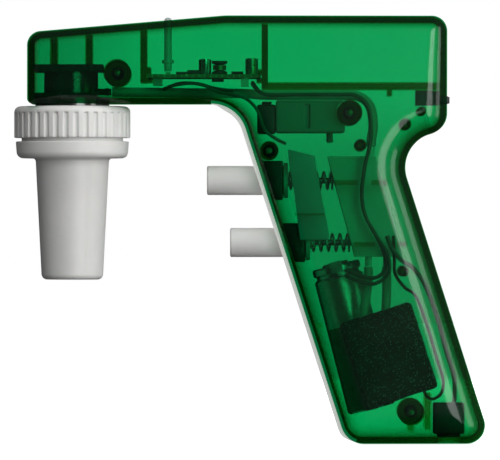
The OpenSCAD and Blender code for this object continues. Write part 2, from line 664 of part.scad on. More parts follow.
module battery_can() {
    color([0.75, 0.77, 0.78]) cell_frame() translate([0, 0, -50]) rotate_extrude() polygon(concat(
        [[0, 0], [7.6, 0], [8.08, 0.5], [8.08, 45.4]],
        [for (a = [0:30:180]) [8.08 - 0.9 * sin(a), 45.6 + 0.8 * (1 - cos(a))]],
        [[8.08, 47.4], [8.08, 49.2], [7.6, 49.6], [4.4, 49.6], [4.2, 50.4], [0, 50.4]]));
}

module battery_sleeve() {
    color([0.05, 0.3, 0.2]) cell_frame() translate([0, 0, -50]) difference() {
        translate([0, 0, 0.6]) cylinder(h = 44.6, r = 8.25);
        cylinder(h = 60, r = 8.1);
    }
}

module battery_tabs() {
    color([0.8, 0.8, 0.78]) cell_frame() {
        translate([-2, -9.2, 0.45]) cube([4, 11, 0.2]);
        translate([-2, -9.4, -3]) cube([4, 0.2, 3.65]);
        translate([-2, -4, -50.25]) cube([4, 8, 0.2]);
    }
}

// Charging socket in the foot of the handle, open downward
module charge_socket() {
    color([0.1, 0.11, 0.11]) difference() {
        union() {
            block([120.2, 130.6], [-5, 5], [-51.4, -41]);
            translate([125.4, 0, -52.5]) cylinder(h = 2, r = 3.9);
        }
        translate([125.4, 0, -53]) cylinder(h = 10, r = 1.8);
    }
}

module socket_pin() {
    color("silver") translate([125.4, 0, -50.8]) union() {
        cylinder(h = 7.75, r = 0.5);
        translate([0, 0, 6.6]) cylinder(h = 1.15, r = 1.5);
    }
}

module switch_body() {
    color([0.1, 0.1, 0.1]) difference() {
        block([114.4, 120.4], [-6.5, 6.5], [58, 62.9]);
        block([118.6, 121], [-5.4, 5.4], [58.9, 62]);
    }
}

// Sliding switch knob in the rear end of the arm
module mode_slider() {
    color([0.12, 0.12, 0.12]) union() {
        block([120.6, 125.5], [-2.5, 2.5], [58.4, 61.1]);
        block([120.6, 122.3], [-5.2, 5.2], [58.1, 62.8]);
        block([119, 120.8], [-1.6, 1.6], [59.4, 61.4]);
        for (y = [-1.5, 0, 1.5]) block([125.4, 125.7], [y - 0.3, y + 0.3], [58.6, 60.9]);
    }
}

left_shell();
right_shell();
front_trim();
housing_screws();
nose_mount();
nose_seal();
nosecone();
pipette_holder();
filter_housing();
filter_membrane();
collar_ring();
upper_button();
lower_button();
upper_stem();
lower_stem();
upper_button_guide();
lower_button_guide();
upper_spring();
lower_spring();
valve_body();
valve_seals();
valve_bracket();
air_manifold();
manifold_cap();
main_hose();
pump_hoses();
control_board();
board_chips();
inductor_core();
inductor_winding();
capacitors();
board_connectors();
status_led();
light_pipe();
board_lead();
battery_lead();
charge_lead();
motor_lead();
pump_foam();
pump_head();
pump_diaphragm();
motor_can();
motor_magnets();
motor_end_cap();
motor_terminals();
motor_armature();
motor_shaft();
eccentric();
battery_can();
battery_sleeve();
battery_tabs();
charge_socket();
socket_pin();
switch_body();
mode_slider();
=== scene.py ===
import bpy
import bmesh
import math
import numpy as np
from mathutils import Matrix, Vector, noise


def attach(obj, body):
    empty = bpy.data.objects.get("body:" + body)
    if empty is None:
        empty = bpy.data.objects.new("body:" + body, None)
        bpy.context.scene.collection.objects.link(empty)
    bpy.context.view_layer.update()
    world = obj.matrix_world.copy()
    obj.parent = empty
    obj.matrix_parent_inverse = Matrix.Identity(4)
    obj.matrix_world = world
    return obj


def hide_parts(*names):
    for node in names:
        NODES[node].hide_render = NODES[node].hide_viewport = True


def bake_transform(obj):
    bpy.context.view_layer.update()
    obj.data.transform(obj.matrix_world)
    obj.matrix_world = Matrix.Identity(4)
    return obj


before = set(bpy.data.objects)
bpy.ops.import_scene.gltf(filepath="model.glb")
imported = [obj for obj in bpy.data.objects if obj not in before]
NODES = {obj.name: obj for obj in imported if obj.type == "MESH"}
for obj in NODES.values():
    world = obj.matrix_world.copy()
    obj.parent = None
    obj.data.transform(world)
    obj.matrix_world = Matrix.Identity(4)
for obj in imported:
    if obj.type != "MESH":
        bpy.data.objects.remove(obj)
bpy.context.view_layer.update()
MM = 0.001

# ---------------------------------------------------------------- node helpers


class Mat:
    """A small wrapper that builds node trees."""

    def __init__(self, name):
        self.m = bpy.data.materials.new(name)
        self.m.use_nodes = True
        self.t = self.m.node_tree
        self.t.nodes.clear()
        self.out = self.t.nodes.new("ShaderNodeOutputMaterial")

    def n(self, kind, **inputs):
        node = self.t.nodes.new("ShaderNode" + kind)
        for k, v in inputs.items():
            if k.startswith("p_"):
                setattr(node, k[2:], v)
        for k, v in inputs.items():
            if k.startswith("p_"):
                continue
            key = int(k[1:]) if k[0] == "i" and k[1:].isdigit() else k.replace("_", " ")
            self.set(node, key, v)
        return node

    def set(self, node, key, v):
        sock = node.inputs[key]
        if isinstance(v, bpy.types.NodeSocket):
            self.t.links.new(v, sock)
        elif isinstance(v, bpy.types.Node):
            self.t.links.new(v.outputs[0], sock)
        else:
            sock.default_value = v

    def math(self, op, a, b=0.0, clamp=False):
        node = self.t.nodes.new("ShaderNodeMath")
        node.operation = op
        node.use_clamp = clamp
        self.set(node, 0, a)
        self.set(node, 1, b)
        return node.outputs[0]

    def coords(self, scale=(1, 1, 1)):
        tc = self.t.nodes.new("ShaderNodeTexCoord")
        mp = self.n("Mapping", Scale=scale)
        self.set(mp, "Vector", tc.outputs["Object"])
        return mp.outputs[0]

    def noise(self, scale, detail=3.0, rough=0.55, vec=None, distortion=0.0):
        node = self.n("TexNoise", Scale=scale, Detail=detail, Roughness=rough, Distortion=distortion)
        self.set(node, "Vector", vec if vec is not None else self.coords())
        return node.outputs["Fac"] if "Fac" in node.outputs else node.outputs[0]

    def ramp(self, fac, lo, hi):
        node = self.n("MapRange")
        self.set(node, "Value", fac)
        node.inputs["From Min"].default_value = 0.3
        node.inputs["From Max"].default_value = 0.7
        node.inputs["To Min"].default_value = lo
        node.inputs["To Max"].default_value = hi
        return node.outputs[0]

    def mix(self, fac, a, b):
        node = self.t.nodes.new("ShaderNodeMix")
        node.data_type = "RGBA"
        self.set(node, 0, fac)
        self.set(node, 6, a)
        self.set(node, 7, b)
        return node.outputs[2]

    def bump(self, height, strength, distance, normal=None):
        node = self.n("Bump", Strength=strength, Distance=distance)
        self.set(node, "Height", height)
        if normal is not None:
            self.set(node, "Normal", normal)
        return node.outputs[0]

    def bevel(self, radius):
        node = self.t.nodes.new("ShaderNodeBevel")
        node.samples = 4
        node.inputs["Radius"].default_value = radius
        return node.outputs[0]


def rgba(c):
    return (c[0], c[1], c[2], 1.0)


def scaled(c, k):
    return tuple(min(1.0, x * k) for x in c)


def surface(name, color, rough=(0.35, 0.5), grain=2600.0, bump=0.12, depth=0.00008, vary=0.1,
            metallic=0.0, coat=0.0, bevel=0.0, stretch=(1, 1, 1), specular=0.5, sheen=0.0,
            subsurface=0.0, cells=False, detail=3.0, painted_glow=0.0):
    """A moulded, turned or woven finish: broad colour variation, grain in bump, uneven roughness."""
    k = Mat(name)
    vec = k.coords(stretch)
    broad = k.noise(90.0, 4.0, 0.6, vec)
    fine = k.noise(grain, detail, 0.6, vec)
    col = k.mix(k.ramp(broad, 0.0, 1.0), rgba(scaled(color, 1 - vary)), rgba(scaled(color, 1 + vary * 0.6)))
    col = k.mix(k.math("MULTIPLY", k.ramp(fine, 0.0, 1.0), 0.35), col, rgba(scaled(color, 1 - 1.4 * vary)))
    height = fine
    if cells:
        vor = k.n("TexVoronoi", Scale=grain * 0.55)
        k.set(vor, "Vector", vec)
        height = k.math("ADD", k.math("MULTIPLY", fine, 0.5), vor.outputs[0])
        col = k.mix(k.math("MULTIPLY", vor.outputs[0], 1.2, True), rgba(scaled(color, 0.35)), col)
    b = k.n("BsdfPrincipled", Metallic=metallic)
    k.set(b, "Base Color", col)
    k.set(b, "Roughness", k.ramp(k.noise(400.0, 3.0, 0.6, vec), rough[0], rough[1]))
    b.inputs["Specular IOR Level"].default_value = specular
    b.inputs["Coat Weight"].default_value = coat
    b.inputs["Coat Roughness"].default_value = 0.12
    b.inputs["Sheen Weight"].default_value = sheen
    b.inputs["Subsurface Weight"].default_value = subsurface
    b.inputs["Subsurface Scale"].default_value = 0.001
    # optional emission: painted light, a glow on a part that is no lamp
    if painted_glow:
        k.set(b, "Emission Color", col)
        b.inputs["Emission Strength"].default_value = painted_glow
    k.set(b, "Normal", k.bump(height, bump, depth, k.bevel(bevel) if bevel else None))
    k.set(k.out, "Surface", b.outputs[0])
    return k.m


def brushed(name, color, axis="z", rough=(0.2, 0.34), bevel=0.0):
    s = {"x": (0.03, 1, 1), "y": (1, 0.03, 1), "z": (1, 1, 0.03)}[axis]
    k = Mat(name)
    vec = k.coords(s)
    lines = k.noise(5200.0, 2.0, 0.7, vec)
    broad = k.noise(120.0, 4.0, 0.6)
    col = k.mix(k.ramp(lines, 0.0, 1.0), rgba(scaled(color, 0.86)), rgba(color))
    col = k.mix(k.math("MULTIPLY", k.ramp(broad, 0, 1), 0.3), col, rgba(scaled(color, 0.72)))
    b = k.n("BsdfPrincipled", Metallic=1.0)
    k.set(b, "Base Color", col)
    k.set(b, "Roughness", k.ramp(broad, rough[0], rough[1]))
    k.set(b, "Normal", k.bump(lines, 0.1, 0.00003, k.bevel(bevel) if bevel else None))
    k.set(k.out, "Surface", b.outputs[0])
    return k.m


def green_shell():
    """Clear green polycarbonate: light goes straight on and is absorbed along its way through the wall."""
    k = Mat("green_shell")
    vec = k.coords()
    fine = k.noise(1500.0, 2.0, 0.5, vec)
    flow = k.noise(60.0, 3.0, 0.5, vec, 0.4)
    normal = k.bump(k.math("ADD", k.math("MULTIPLY", fine, 0.04), flow), 0.03, 0.0001)
    lw = k.n("LayerWeight", Blend=0.5)
    k.set(lw, "Normal", normal)
    f5 = k.math("POWER", lw.outputs["Facing"], 4.6)
    fres = k.math("ADD", 0.03, k.math("MULTIPLY", f5, 0.11))
    geo = k.t.nodes.new("ShaderNodeNewGeometry")
    back = k.math("SUBTRACT", 1.0, k.math("MULTIPLY", geo.outputs["Backfacing"], 0.88))
    fac = k.math("MULTIPLY", fres, back)
    glossy = k.n("BsdfAnisotropic", Color=(1, 1, 1, 1))
    k.set(glossy, "Roughness", k.ramp(flow, 0.17, 0.20))
    k.set(glossy, "Normal", normal)
    # a tilted wall bends the view towards the darker sides of the room
    tilt = k.n("MapRange", p_interpolation_type="SMOOTHSTEP")
    k.set(tilt, "Value", lw.outputs["Facing"])
    for key, v in (("From Min", 0.0), ("From Max", 0.72), ("To Min", 1.0), ("To Max", 0.76)):
        tilt.inputs[key].default_value = v
    # the transmitted tone is made darker round the grip and at the front end of the arm
    at = k.n("SeparateXYZ")
    k.set(at, 0, vec)
    grip = k.n("MapRange", p_interpolation_type="SMOOTHSTEP")
    k.set(grip, "Value", at.outputs[2])
    for key, v in (("From Min", 0.034), ("From Max", 0.066), ("To Min", 0.90), ("To Max", 1.0)):
        grip.inputs[key].default_value = v
    tip = k.n("MapRange", p_interpolation_type="SMOOTHSTEP")
    k.set(tip, "Value", at.outputs[0])
    for key, v in (("From Min", -0.015), ("From Max", 0.034), ("To Min", 0.87), ("To Max", 1.0)):
        tip.inputs[key].default_value = v
    shade = k.math("MULTIPLY", tilt.outputs[0], k.math("MULTIPLY", grip.outputs[0], tip.outputs[0]))
    tone = k.n("CombineColor")
    for i, part in enumerate((0.377, 0.87, 0.718)):
        k.set(tone, i, k.math("MULTIPLY", shade, part))
    clear = k.n("BsdfTransparent")
    k.set(clear, "Color", tone.outputs[0])
    haze = k.n("BsdfDiffuse", Color=(0.02, 0.42, 0.2, 1))
    k.set(haze, "Normal", normal)
    body = k.n("MixShader", i0=0.012)
    k.set(body, 1, clear)
    k.set(body, 2, haze)
    mix = k.n("MixShader")
    k.set(mix, 0, fac)
    k.set(mix, 1, body)
    k.set(mix, 2, glossy)
    k.set(k.out, "Surface", mix.outputs[0])
    vol = k.n("VolumeAbsorption", Color=(0.031, 0.861, 0.669, 1.0), Density=800.0)
    k.set(k.out, "Volume", vol.outputs[0])
    return k.m


def clear_plastic(name, tint=(0.93, 0.97, 0.96), rough=0.08):
    k = Mat(name)
    fine = k.noise(1800.0, 2.0, 0.5)
    lw = k.n("LayerWeight", Blend=0.5)
    fac = k.math("ADD", 0.05, k.math("MULTIPLY", k.math("POWER", lw.outputs["Facing"], 3.0), 0.6))
    glossy = k.n("BsdfAnisotropic", Color=(1, 1, 1, 1))
    k.set(glossy, "Roughness", k.ramp(fine, rough, rough * 1.6))
    k.set(glossy, "Normal", k.bump(fine, 0.06, 0.00005))
    clear = k.n("BsdfTransparent", Color=rgba(tint))
    haze = k.n("BsdfDiffuse", Color=rgba(tint))
    body = k.n("MixShader", i0=0.6)
    k.set(body, 1, clear)
    k.set(body, 2, haze)
    mix = k.n("MixShader")
    k.set(mix, 0, fac)
    k.set(mix, 1, body)
    k.set(mix, 2, glossy)
    k.set(k.out, "Surface", mix.outputs[0])
    return k.m


def board_material():
    k = Mat("board_green")
    vec = k.coords()
    brick = k.n("TexBrick", Scale=260.0, Color1=(0.02, 0.16, 0.07, 1), Color2=(0.04, 0.26, 0.12, 1),
                Mortar=(0.09, 0.4, 0.2, 1))
    k.set(brick, "Vector", vec)
    brick.inputs["Mortar Size"].default_value = 0.06
    vor = k.n("TexVoronoi", Scale=420.0)
    k.set(vor, "Vector", vec)
    pads = k.math("LESS_THAN", vor.outputs[0], 0.16)
    col = k.mix(pads, brick.outputs[0], (0.7, 0.62, 0.35, 1))
    b = k.n("BsdfPrincipled", Roughness=0.35)
    k.set(b, "Base Color", col)
    k.set(b, "Normal", k.bump(brick.outputs[1], 0.3, 0.00004, k.bevel(0.0002)))
    k.set(k.out, "Surface", b.outputs[0])
    return k.m


def foam_material():
    """Open-cell foam wrap: dark, with paler cell walls that show as specks."""
    k = Mat("foam")
    vec = k.coords()
    vor = k.n("TexVoronoi", Scale=1700.0)
    k.set(vor, "Vector", vec)
    fine = k.noise(3600.0, 3.0, 0.7, vec)
    patch = k.noise(220.0, 3.0, 0.6, vec)
    cell = k.t.nodes.new("ShaderNodeSeparateColor")
    k.t.links.new(vor.outputs["Color"], cell.inputs[0])
    chosen = k.math("GREATER_THAN", k.math("ADD", cell.outputs[0], k.math("MULTIPLY", patch, 0.35)), 0.86)
    near = k.math("SUBTRACT", 1.0, k.math("MULTIPLY", vor.outputs["Distance"], 1.7), True)
    speck = k.math("MULTIPLY", chosen, near, True)
    base = k.mix(k.ramp(patch, 0.0, 1.0), (0.016, 0.022, 0.019, 1), (0.046, 0.055, 0.05, 1))
    col = k.mix(speck, base, (0.26, 0.30, 0.28, 1))
    b = k.n("BsdfPrincipled", Roughness=0.92)
    k.set(b, "Base Color", col)
    b.inputs["Specular IOR Level"].default_value = 0.15
    height = k.math("ADD", k.math("MULTIPLY", fine, 0.5), vor.outputs["Distance"])
    k.set(b, "Normal", k.bump(height, 0.9, 0.0003))
    k.set(k.out, "Surface", b.outputs[0])
    return k.m


def film_material():
    """Shrink film on the cell: brighter and partly metallic above a line near the top, darker below it."""
    k = Mat("sleeve_film")
    vec = k.coords()
    sep = k.n("SeparateXYZ")
    k.set(sep, 0, vec)
    along = k.math("ADD", k.math("MULTIPLY", k.math("SUBTRACT", sep.outputs[0], 0.0877), -0.2487),
                   k.math("MULTIPLY", k.math("SUBTRACT", sep.outputs[2], 0.0052), 0.9686))
    band = k.math("GREATER_THAN", along, -0.0209)
    fine = k.noise(900.0, 3.0, 0.6, vec)
    broad = k.noise(80.0, 4.0, 0.6, vec)
    dark = k.mix(k.ramp(broad, 0.0, 1.0), (0.014, 0.10, 0.045, 1), (0.026, 0.15, 0.075, 1))
    bright = k.mix(k.ramp(fine, 0.0, 1.0), (0.34, 0.42, 0.40, 1), (0.50, 0.58, 0.55, 1))
    b = k.n("BsdfPrincipled")
    k.set(b, "Base Color", k.mix(band, dark, bright))
    k.set(b, "Metallic", k.math("MULTIPLY", band, 0.75))
    k.set(b, "Roughness", k.ramp(broad, 0.24, 0.36))
    k.set(b, "Normal", k.bump(fine, 0.2, 0.00008))
    k.set(k.out, "Surface", b.outputs[0])
    return k.m


M = {
    "green_shell": green_shell(),
    "white_plastic": surface("white_plastic", (0.80, 0.80, 0.78), (0.34, 0.46), 2600, 0.10, 0.00006, 0.035,
                             subsurface=0.04, specular=0.4),
    "white_satin": surface("white_satin", (0.80, 0.80, 0.78), (0.3, 0.42), 2600, 0.10, 0.00006, 0.03,
                           subsurface=0.04, bevel=0.0003),
    "black_plastic": surface("black_plastic", (0.022, 0.024, 0.024), (0.4, 0.55), 2400, 0.2, 0.00008, 0.25,
                             bevel=0.0004),
    "mount_black": surface("mount_black", (0.035, 0.04, 0.04), (0.16, 0.26), 2000, 0.12, 0.00006, 0.25,
                           bevel=0.0004, specular=0.9, coat=0.5),
    "grey_plastic": surface("grey_plastic", (0.42, 0.40, 0.41), (0.42, 0.58), 2200, 0.22, 0.00009, 0.12, bevel=0.0005),
    "teal_plastic": surface("teal_plastic", (0.24, 0.62, 0.80), (0.32, 0.45), 2200, 0.15, 0.00006, 0.1, bevel=0.0003),
    "frosted_plastic": surface("frosted_plastic", (0.70, 0.95, 0.97), (0.38, 0.52), 1800, 0.15, 0.00006, 0.08,
                               bevel=0.0005, subsurface=0.1),
    "clear_plastic": clear_plastic("clear_plastic", (0.62, 0.70, 0.68)),
    # trim_white: whiter than the other white plastic and given emission, painted light that brightens the front trim
    # strip
    "trim_white": surface("trim_white", (0.93, 0.93, 0.91), (0.3, 0.42), 2600, 0.10, 0.00006, 0.03,
                          subsurface=0.04, painted_glow=0.42),
    "button_white": surface("button_white", (0.88, 0.88, 0.86), (0.3, 0.42), 2600, 0.10, 0.00006, 0.03,
                            subsurface=0.04, bevel=0.0003),
    "silicone": surface("silicone", (0.66, 0.68, 0.66), (0.45, 0.6), 1800, 0.12, 0.00006, 0.06, subsurface=0.15),
    "black_rubber": surface("black_rubber", (0.03, 0.03, 0.03), (0.5, 0.68), 2600, 0.2, 0.00008, 0.2),
    "foam": foam_material(),
    "steel": brushed("steel", (0.66, 0.67, 0.68), "y", bevel=0.0002),
    "steel_x": brushed("steel_x", (0.66, 0.67, 0.68), "x"),
    "steel_z": brushed("steel_z", (0.62, 0.64, 0.65), "z"),
    "brass_contact": brushed("brass_contact", (0.78, 0.62, 0.32), "y", bevel=0.0001),
    "copper": surface("copper", (0.62, 0.3, 0.16), (0.3, 0.45), 5200, 0.8, 0.0001, 0.2, metallic=0.9,
                      stretch=(0.05, 0.05, 1)),
    "board_green": board_material(),
    "ivory_plastic": surface("ivory_plastic", (0.8, 0.79, 0.72), (0.35, 0.5), 2400, 0.15, 0.00006, 0.06, bevel=0.0003),
    "hose": surface("hose", (0.50, 0.54, 0.52), (0.3, 0.45), 1600, 0.12, 0.00008, 0.08, subsurface=0.2),
    "cable_black": surface("cable_black", (0.15, 0.16, 0.16), (0.4, 0.6), 1500, 0.2, 0.00008, 0.25),
    "cable_red": surface("cable_red", (0.3, 0.035, 0.025), (0.35, 0.5), 1500, 0.2, 0.00008, 0.2),
    "sleeve_film": film_material(),
    "membrane": surface("membrane", (0.92, 0.92, 0.9), (0.8, 0.95), 3200, 0.6, 0.0001, 0.06, cells=True),
    "ferrite": surface("ferrite", (0.05, 0.05, 0.052), (0.5, 0.65), 2600, 0.5, 0.0001, 0.3, bevel=0.0002),
    "motor_dark": surface("motor_dark", (0.1, 0.09, 0.09), (0.4, 0.55), 2200, 0.3, 0.0001, 0.25),
    "chip": surface("chip", (0.025, 0.026, 0.028), (0.35, 0.5), 3000, 0.3, 0.00006, 0.25, bevel=0.0002),
}

# ---------------------------------------------------------------- mesh helpers


def build(name, verts, faces, mat, body, replaces=(), angle=32, recalc=True, ride=True):
    me = bpy.data.meshes.new(name)
    me.from_pydata([(float(x) * MM, float(y) * MM, float(z) * MM) for x, y, z in verts], [],
                   [tuple(int(i) for i in f) for f in faces])
    me.update()
    if recalc:
        bm = bmesh.new()
        bm.from_mesh(me)
        bmesh.ops.recalc_face_normals(bm, faces=bm.faces)
        bm.to_mesh(me)
        bm.free()
    ob = bpy.data.objects.new(name, me)
    bpy.context.scene.collection.objects.link(ob)
    dress(ob, mat, body, replaces, angle, ride)
    return ob


def dress(ob, mat, body, replaces=(), angle=32, ride=True):
    me = ob.data
    me.materials.clear()
    me.materials.append(M[mat] if isinstance(mat, str) else mat)
    me.polygons.foreach_set("use_smooth", [True] * len(me.polygons))
    me.polygons.foreach_set("material_index", [0] * len(me.polygons))
    if hasattr(me, "set_sharp_from_angle"):
        me.set_sharp_from_angle(angle=math.radians(angle))
    me.update()
    if replaces:
        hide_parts(*replaces)
    if ride:
        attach(ob, body)


def temp(verts, faces):
    me = bpy.data.meshes.new("tmp")
    me.from_pydata([(float(x) * MM, float(y) * MM, float(z) * MM) for x, y, z in verts], [],
                   [tuple(int(i) for i in f) for f in faces])
    bm = bmesh.new()
    bm.from_mesh(me)
    bmesh.ops.recalc_face_normals(bm, faces=bm.faces)
    bm.to_mesh(me)
    bm.free()
    ob = bpy.data.objects.new("tmp", me)
    bpy.context.scene.collection.objects.link(ob)
    return ob


def apply_modifiers(ob):
    dg = bpy.context.evaluated_depsgraph_get()
    dg.update()
    me = bpy.data.meshes.new_from_object(ob.evaluated_get(dg), preserve_all_data_layers=False, depsgraph=dg)
    ob.modifiers.clear()
    ob.data = me
    return ob


def boolean(ob, tools, op="DIFFERENCE"):
    for t in tools:
        m = ob.modifiers.new("b", "BOOLEAN")
        m.operation = op
        try:
            m.solver = "MANIFOLD"
        except TypeError:
            m.solver = "EXACT"
        m.object = t
    apply_modifiers(ob)
    for t in tools:
        bpy.data.objects.remove(t)
    return ob


def lathe_data(profile, n=96, closed=True):
    """Closed profile of (radius, height) turned about Z. Points on the axis become one vertex."""
    verts, rows = [], []
    for r, z in profile:
        if r < 1e-6:
            rows.append([len(verts)] * n)
            verts.append((0, 0, z))
        else:
            s = len(verts)
            rows.append([s + i for i in range(n)])
            for i in range(n):
                a = 2 * math.pi * i / n
                verts.append((r * math.cos(a), r * math.sin(a), z))
    faces = []
    m = len(profile)
    for j in range(m if closed else m - 1):
        a, b = rows[j], rows[(j + 1) % m]
        for i in range(n):
            k = (i + 1) % n
            f = []
            for v in (a[i], a[k], b[k], b[i]):
                if v not in f:
                    f.append(v)
            if len(f) > 2:
                faces.append(f)
    return verts, faces


def place(verts, origin=(0, 0, 0), axis="z"):
    if axis == "z":
        return [(x + origin[0], y + origin[1], z + origin[2]) for x, y, z in verts]
    if axis == "x":
        return [(z + origin[0], y + origin[1], -x + origin[2]) for x, y, z in verts]
    if axis == "y":
        return [(x + origin[0], z + origin[1], -y + origin[2]) for x, y, z in verts]
    raise ValueError(axis)


def fillet(points, steps=5):
    """Points (r, z) or (r, z, radius): corners with a radius are rounded."""
    out = []
    n = len(points)
    for i, p in enumerate(points):
        if len(p) < 3 or p[2] <= 0:
            out.append((p[0], p[1]))
            continue
        a = np.array(points[i - 1][:2], float)
        b = np.array(p[:2], float)
        c = np.array(points[(i + 1) % n][:2], float)
        u, v = (a - b), (c - b)
        lu, lv = np.linalg.norm(u), np.linalg.norm(v)
        u, v = u / lu, v / lv
        half = math.acos(max(-1, min(1, float(u @ v)))) / 2
        if half < 1e-3 or half > math.pi / 2 - 1e-3:
            out.append((p[0], p[1]))
            continue
        d = min(p[2] / math.tan(half), 0.48 * lu, 0.48 * lv)
        r = d * math.tan(half)
        centre = b + (u + v) / np.linalg.norm(u + v) * (r / math.sin(half))
        s, e = b + u * d, b + v * d
        a0 = math.atan2(*(s - centre)[::-1])
        a1 = math.atan2(*(e - centre)[::-1])
        da = (a1 - a0 + math.pi) % (2 * math.pi) - math.pi
        for k in range(steps + 1):
            t = a0 + da * k / steps
            out.append((centre[0] + r * math.cos(t), centre[1] + r * math.sin(t)))
    return out


def lathe(name, profile, mat, body, replaces=(), n=96, origin=(0, 0, 0), axis="z", angle=32, steps=5):
    v, f = lathe_data(fillet(profile, steps), n)
    return build(name, place(v, origin, axis), f, mat, body, replaces, angle)


def rod(x, z, r, y0, y1, n=48):
    v, f = lathe_data([(0, y0), (r, y0), (r, y1), (0, y1)], n, closed=False)
    return temp(place(v, (x, 0, z), "y"), f)


def rod_x(x0, x1, y, z, r, n=64):
    v, f = lathe_data([(0, x0), (r, x0), (r, x1), (0, x1)], n, closed=False)
    return temp(place(v, (0, y, z), "x"), f)


def rod_z(x, y, z0, z1, r, n=64):
    v, f = lathe_data([(0, z0), (r, z0), (r, z1), (0, z1)], n, closed=False)
    return temp(place(v, (x, y, 0), "z"), f)


def box_data(x, y, z, bevel=0.0, seg=3):
    bm = bmesh.new()
    bmesh.ops.create_cube(bm, size=1.0)
    for v in bm.verts:
        v.co = Vector((x[0] if v.co.x < 0 else x[1], y[0] if v.co.y < 0 else y[1], z[0] if v.co.z < 0 else z[1]))
    if bevel > 0:
        bmesh.ops.bevel(bm, geom=list(bm.edges), offset=bevel, segments=seg, profile=0.5, affect="EDGES")
    bm.verts.index_update()
    v = [tuple(q.co) for q in bm.verts]
    f = [[q.index for q in p.verts] for p in bm.faces]
    bm.free()
    return v, f


def box(x, y, z, bevel=0.0, seg=3):
    return temp(*box_data(x, y, z, bevel, seg))


def prism_data(poly, y0, y1, bevel=0.0, seg=3):
    """Polygon of (x, z) drawn out along Y, its edges rounded."""
    bm = bmesh.new()
    vs = [bm.verts.new((p[0], y0, p[1])) for p in poly]
    face = bm.faces.new(vs)
    ext = bmesh.ops.extrude_face_region(bm, geom=[face])
    for g in ext["geom"]:
        if isinstance(g, bmesh.types.BMVert):
            g.co.y = y1
    bmesh.ops.recalc_face_normals(bm, faces=bm.faces)
    if bevel > 0:
        bmesh.ops.bevel(bm, geom=list(bm.edges), offset=bevel, segments=seg, profile=0.5, affect="EDGES",
                        clamp_overlap=True)
    bm.verts.index_update()
    v = [tuple(q.co) for q in bm.verts]
    f = [[q.index for q in p.verts] for p in bm.faces]
    bm.free()
    return v, f


def joined(*parts):
    V, F = [], []
    for v, f in parts:
        s = len(V)
        V += list(v)
        F += [[i + s for i in q] for q in f]
    return V, F


def spline(points, m=8):
    p = [np.array(q, float) for q in points]
    out = []
    n = len(p)
    for i in range(n - 1):
        a, b, c, d = p[max(i - 1, 0)], p[i], p[i + 1], p[min(i + 2, n - 1)]
        for j in range(m + (1 if i == n - 2 else 0)):
            t = j / m
            out.append(0.5 * (2 * b + (c - a) * t + (2 * a - 5 * b + 4 * c - d) * t * t
                              + (3 * b - a - 3 * c + d) * t ** 3))
    return out


def tube_data(path, r, sides=14):
    path = [np.array(p, float) for p in path]
    n = len(path)
    tans = []
    for i in range(n):
        t = path[min(i + 1, n - 1)] - path[max(i - 1, 0)]
        tans.append(t / np.linalg.norm(t))
    u = np.cross(tans[0], [0, 1, 0])
    if np.linalg.norm(u) < 1e-3:
        u = np.cross(tans[0], [1, 0, 0])
    u /= np.linalg.norm(u)
    V, F = [], []
    radii = r if hasattr(r, "__len__") else [r] * n
    for i in range(n):
        u = u - tans[i] * (u @ tans[i])
        u /= np.linalg.norm(u)
        w = np.cross(tans[i], u)
        for k in range(sides):
            a = 2 * math.pi * k / sides
            V.append(tuple(path[i] + radii[i] * (math.cos(a) * u + math.sin(a) * w)))
    for i in range(n - 1):
        for k in range(sides):
            k2 = (k + 1) % sides
            F.append([i * sides + k, i * sides + k2, (i + 1) * sides + k2, (i + 1) * sides + k])
    F.append(list(range(sides))[::-1])
    F.append([(n - 1) * sides + k for k in range(sides)])
    return V, F


# ---------------------------------------------------------------- housing profile

H, WALL = 17.5, 2.0
GE = 9.0
PROFILE = [
    (-14.7, 82.13, 4.7, 5.0, 20), (50.9, 87.68, 30, 5.5, 6), (124.67, 87.6, 5.1, 6.0, 20),
    (124.67, 50.03, 7, 7.5, 20), (107.73, 45.2, 11.7, GE + 1, 24), (139.63, -54.6, 6.1, GE + 2, 24),
    (91.43, -54.6, 7.8, GE, 26), (55.07, 58.47, 12, GE - 1, 28), (-14.7, 58.47, 1.7, 5.0, 12)]
PN = len(PROFILE)


def corner_frame(i):
    p = np.array(PROFILE[i][:2])
    a = np.array(PROFILE[i - 1][:2])
    b = np.array(PROFILE[(i + 1) % PN][:2])
    u1 = (p - a) / np.linalg.norm(p - a)
    u2 = (b - p) / np.linalg.norm(b - p)
    n1, n2 = np.array([u1[1], -u1[0]]), np.array([u2[1], -u2[0]])
    cr = n1[0] * n2[1] - n1[1] * n2[0]
    return p, n1, n2, cr, math.atan2(n1[1], n1[0]), math.atan2(cr, float(n1 @ n2))


def corner_at(i, d, f):
    """Point of corner i at share f of its arc, moved inward by d, and the inward normal there."""
    p, n1, n2, cr, a1, da = corner_frame(i)
    r = PROFILE[i][2]
    convex = cr < 0
    rr = max(r - d, 0.3) if convex else r + d
    s = d + rr if convex else d - rr
    c = p + (n1 + n2) * s / (1 + float(n1 @ n2))
    a = a1 + da * f
    g = -1 if convex else 1
    e = np.array([math.cos(a), math.sin(a)])
    return c + g * rr * e, e


def corner(i, d):
    m = PROFILE[i][4]
    return [corner_at(i, d, j / m)[0] for j in range(m + 1)]


def skin(t, w):
    out = []
    for i in range(PN):
        r = PROFILE[i][3]
        d = w + (r - w) * (1 - math.cos(t))
        y = -(H - r) - (r - w) * math.sin(t)
        out += [(q[0], y, q[1]) for q in corner(i, d)]
    return out


def rim(w, y):
    return [(q[0], y, q[1]) for i in range(PN) for q in corner(i, w)]


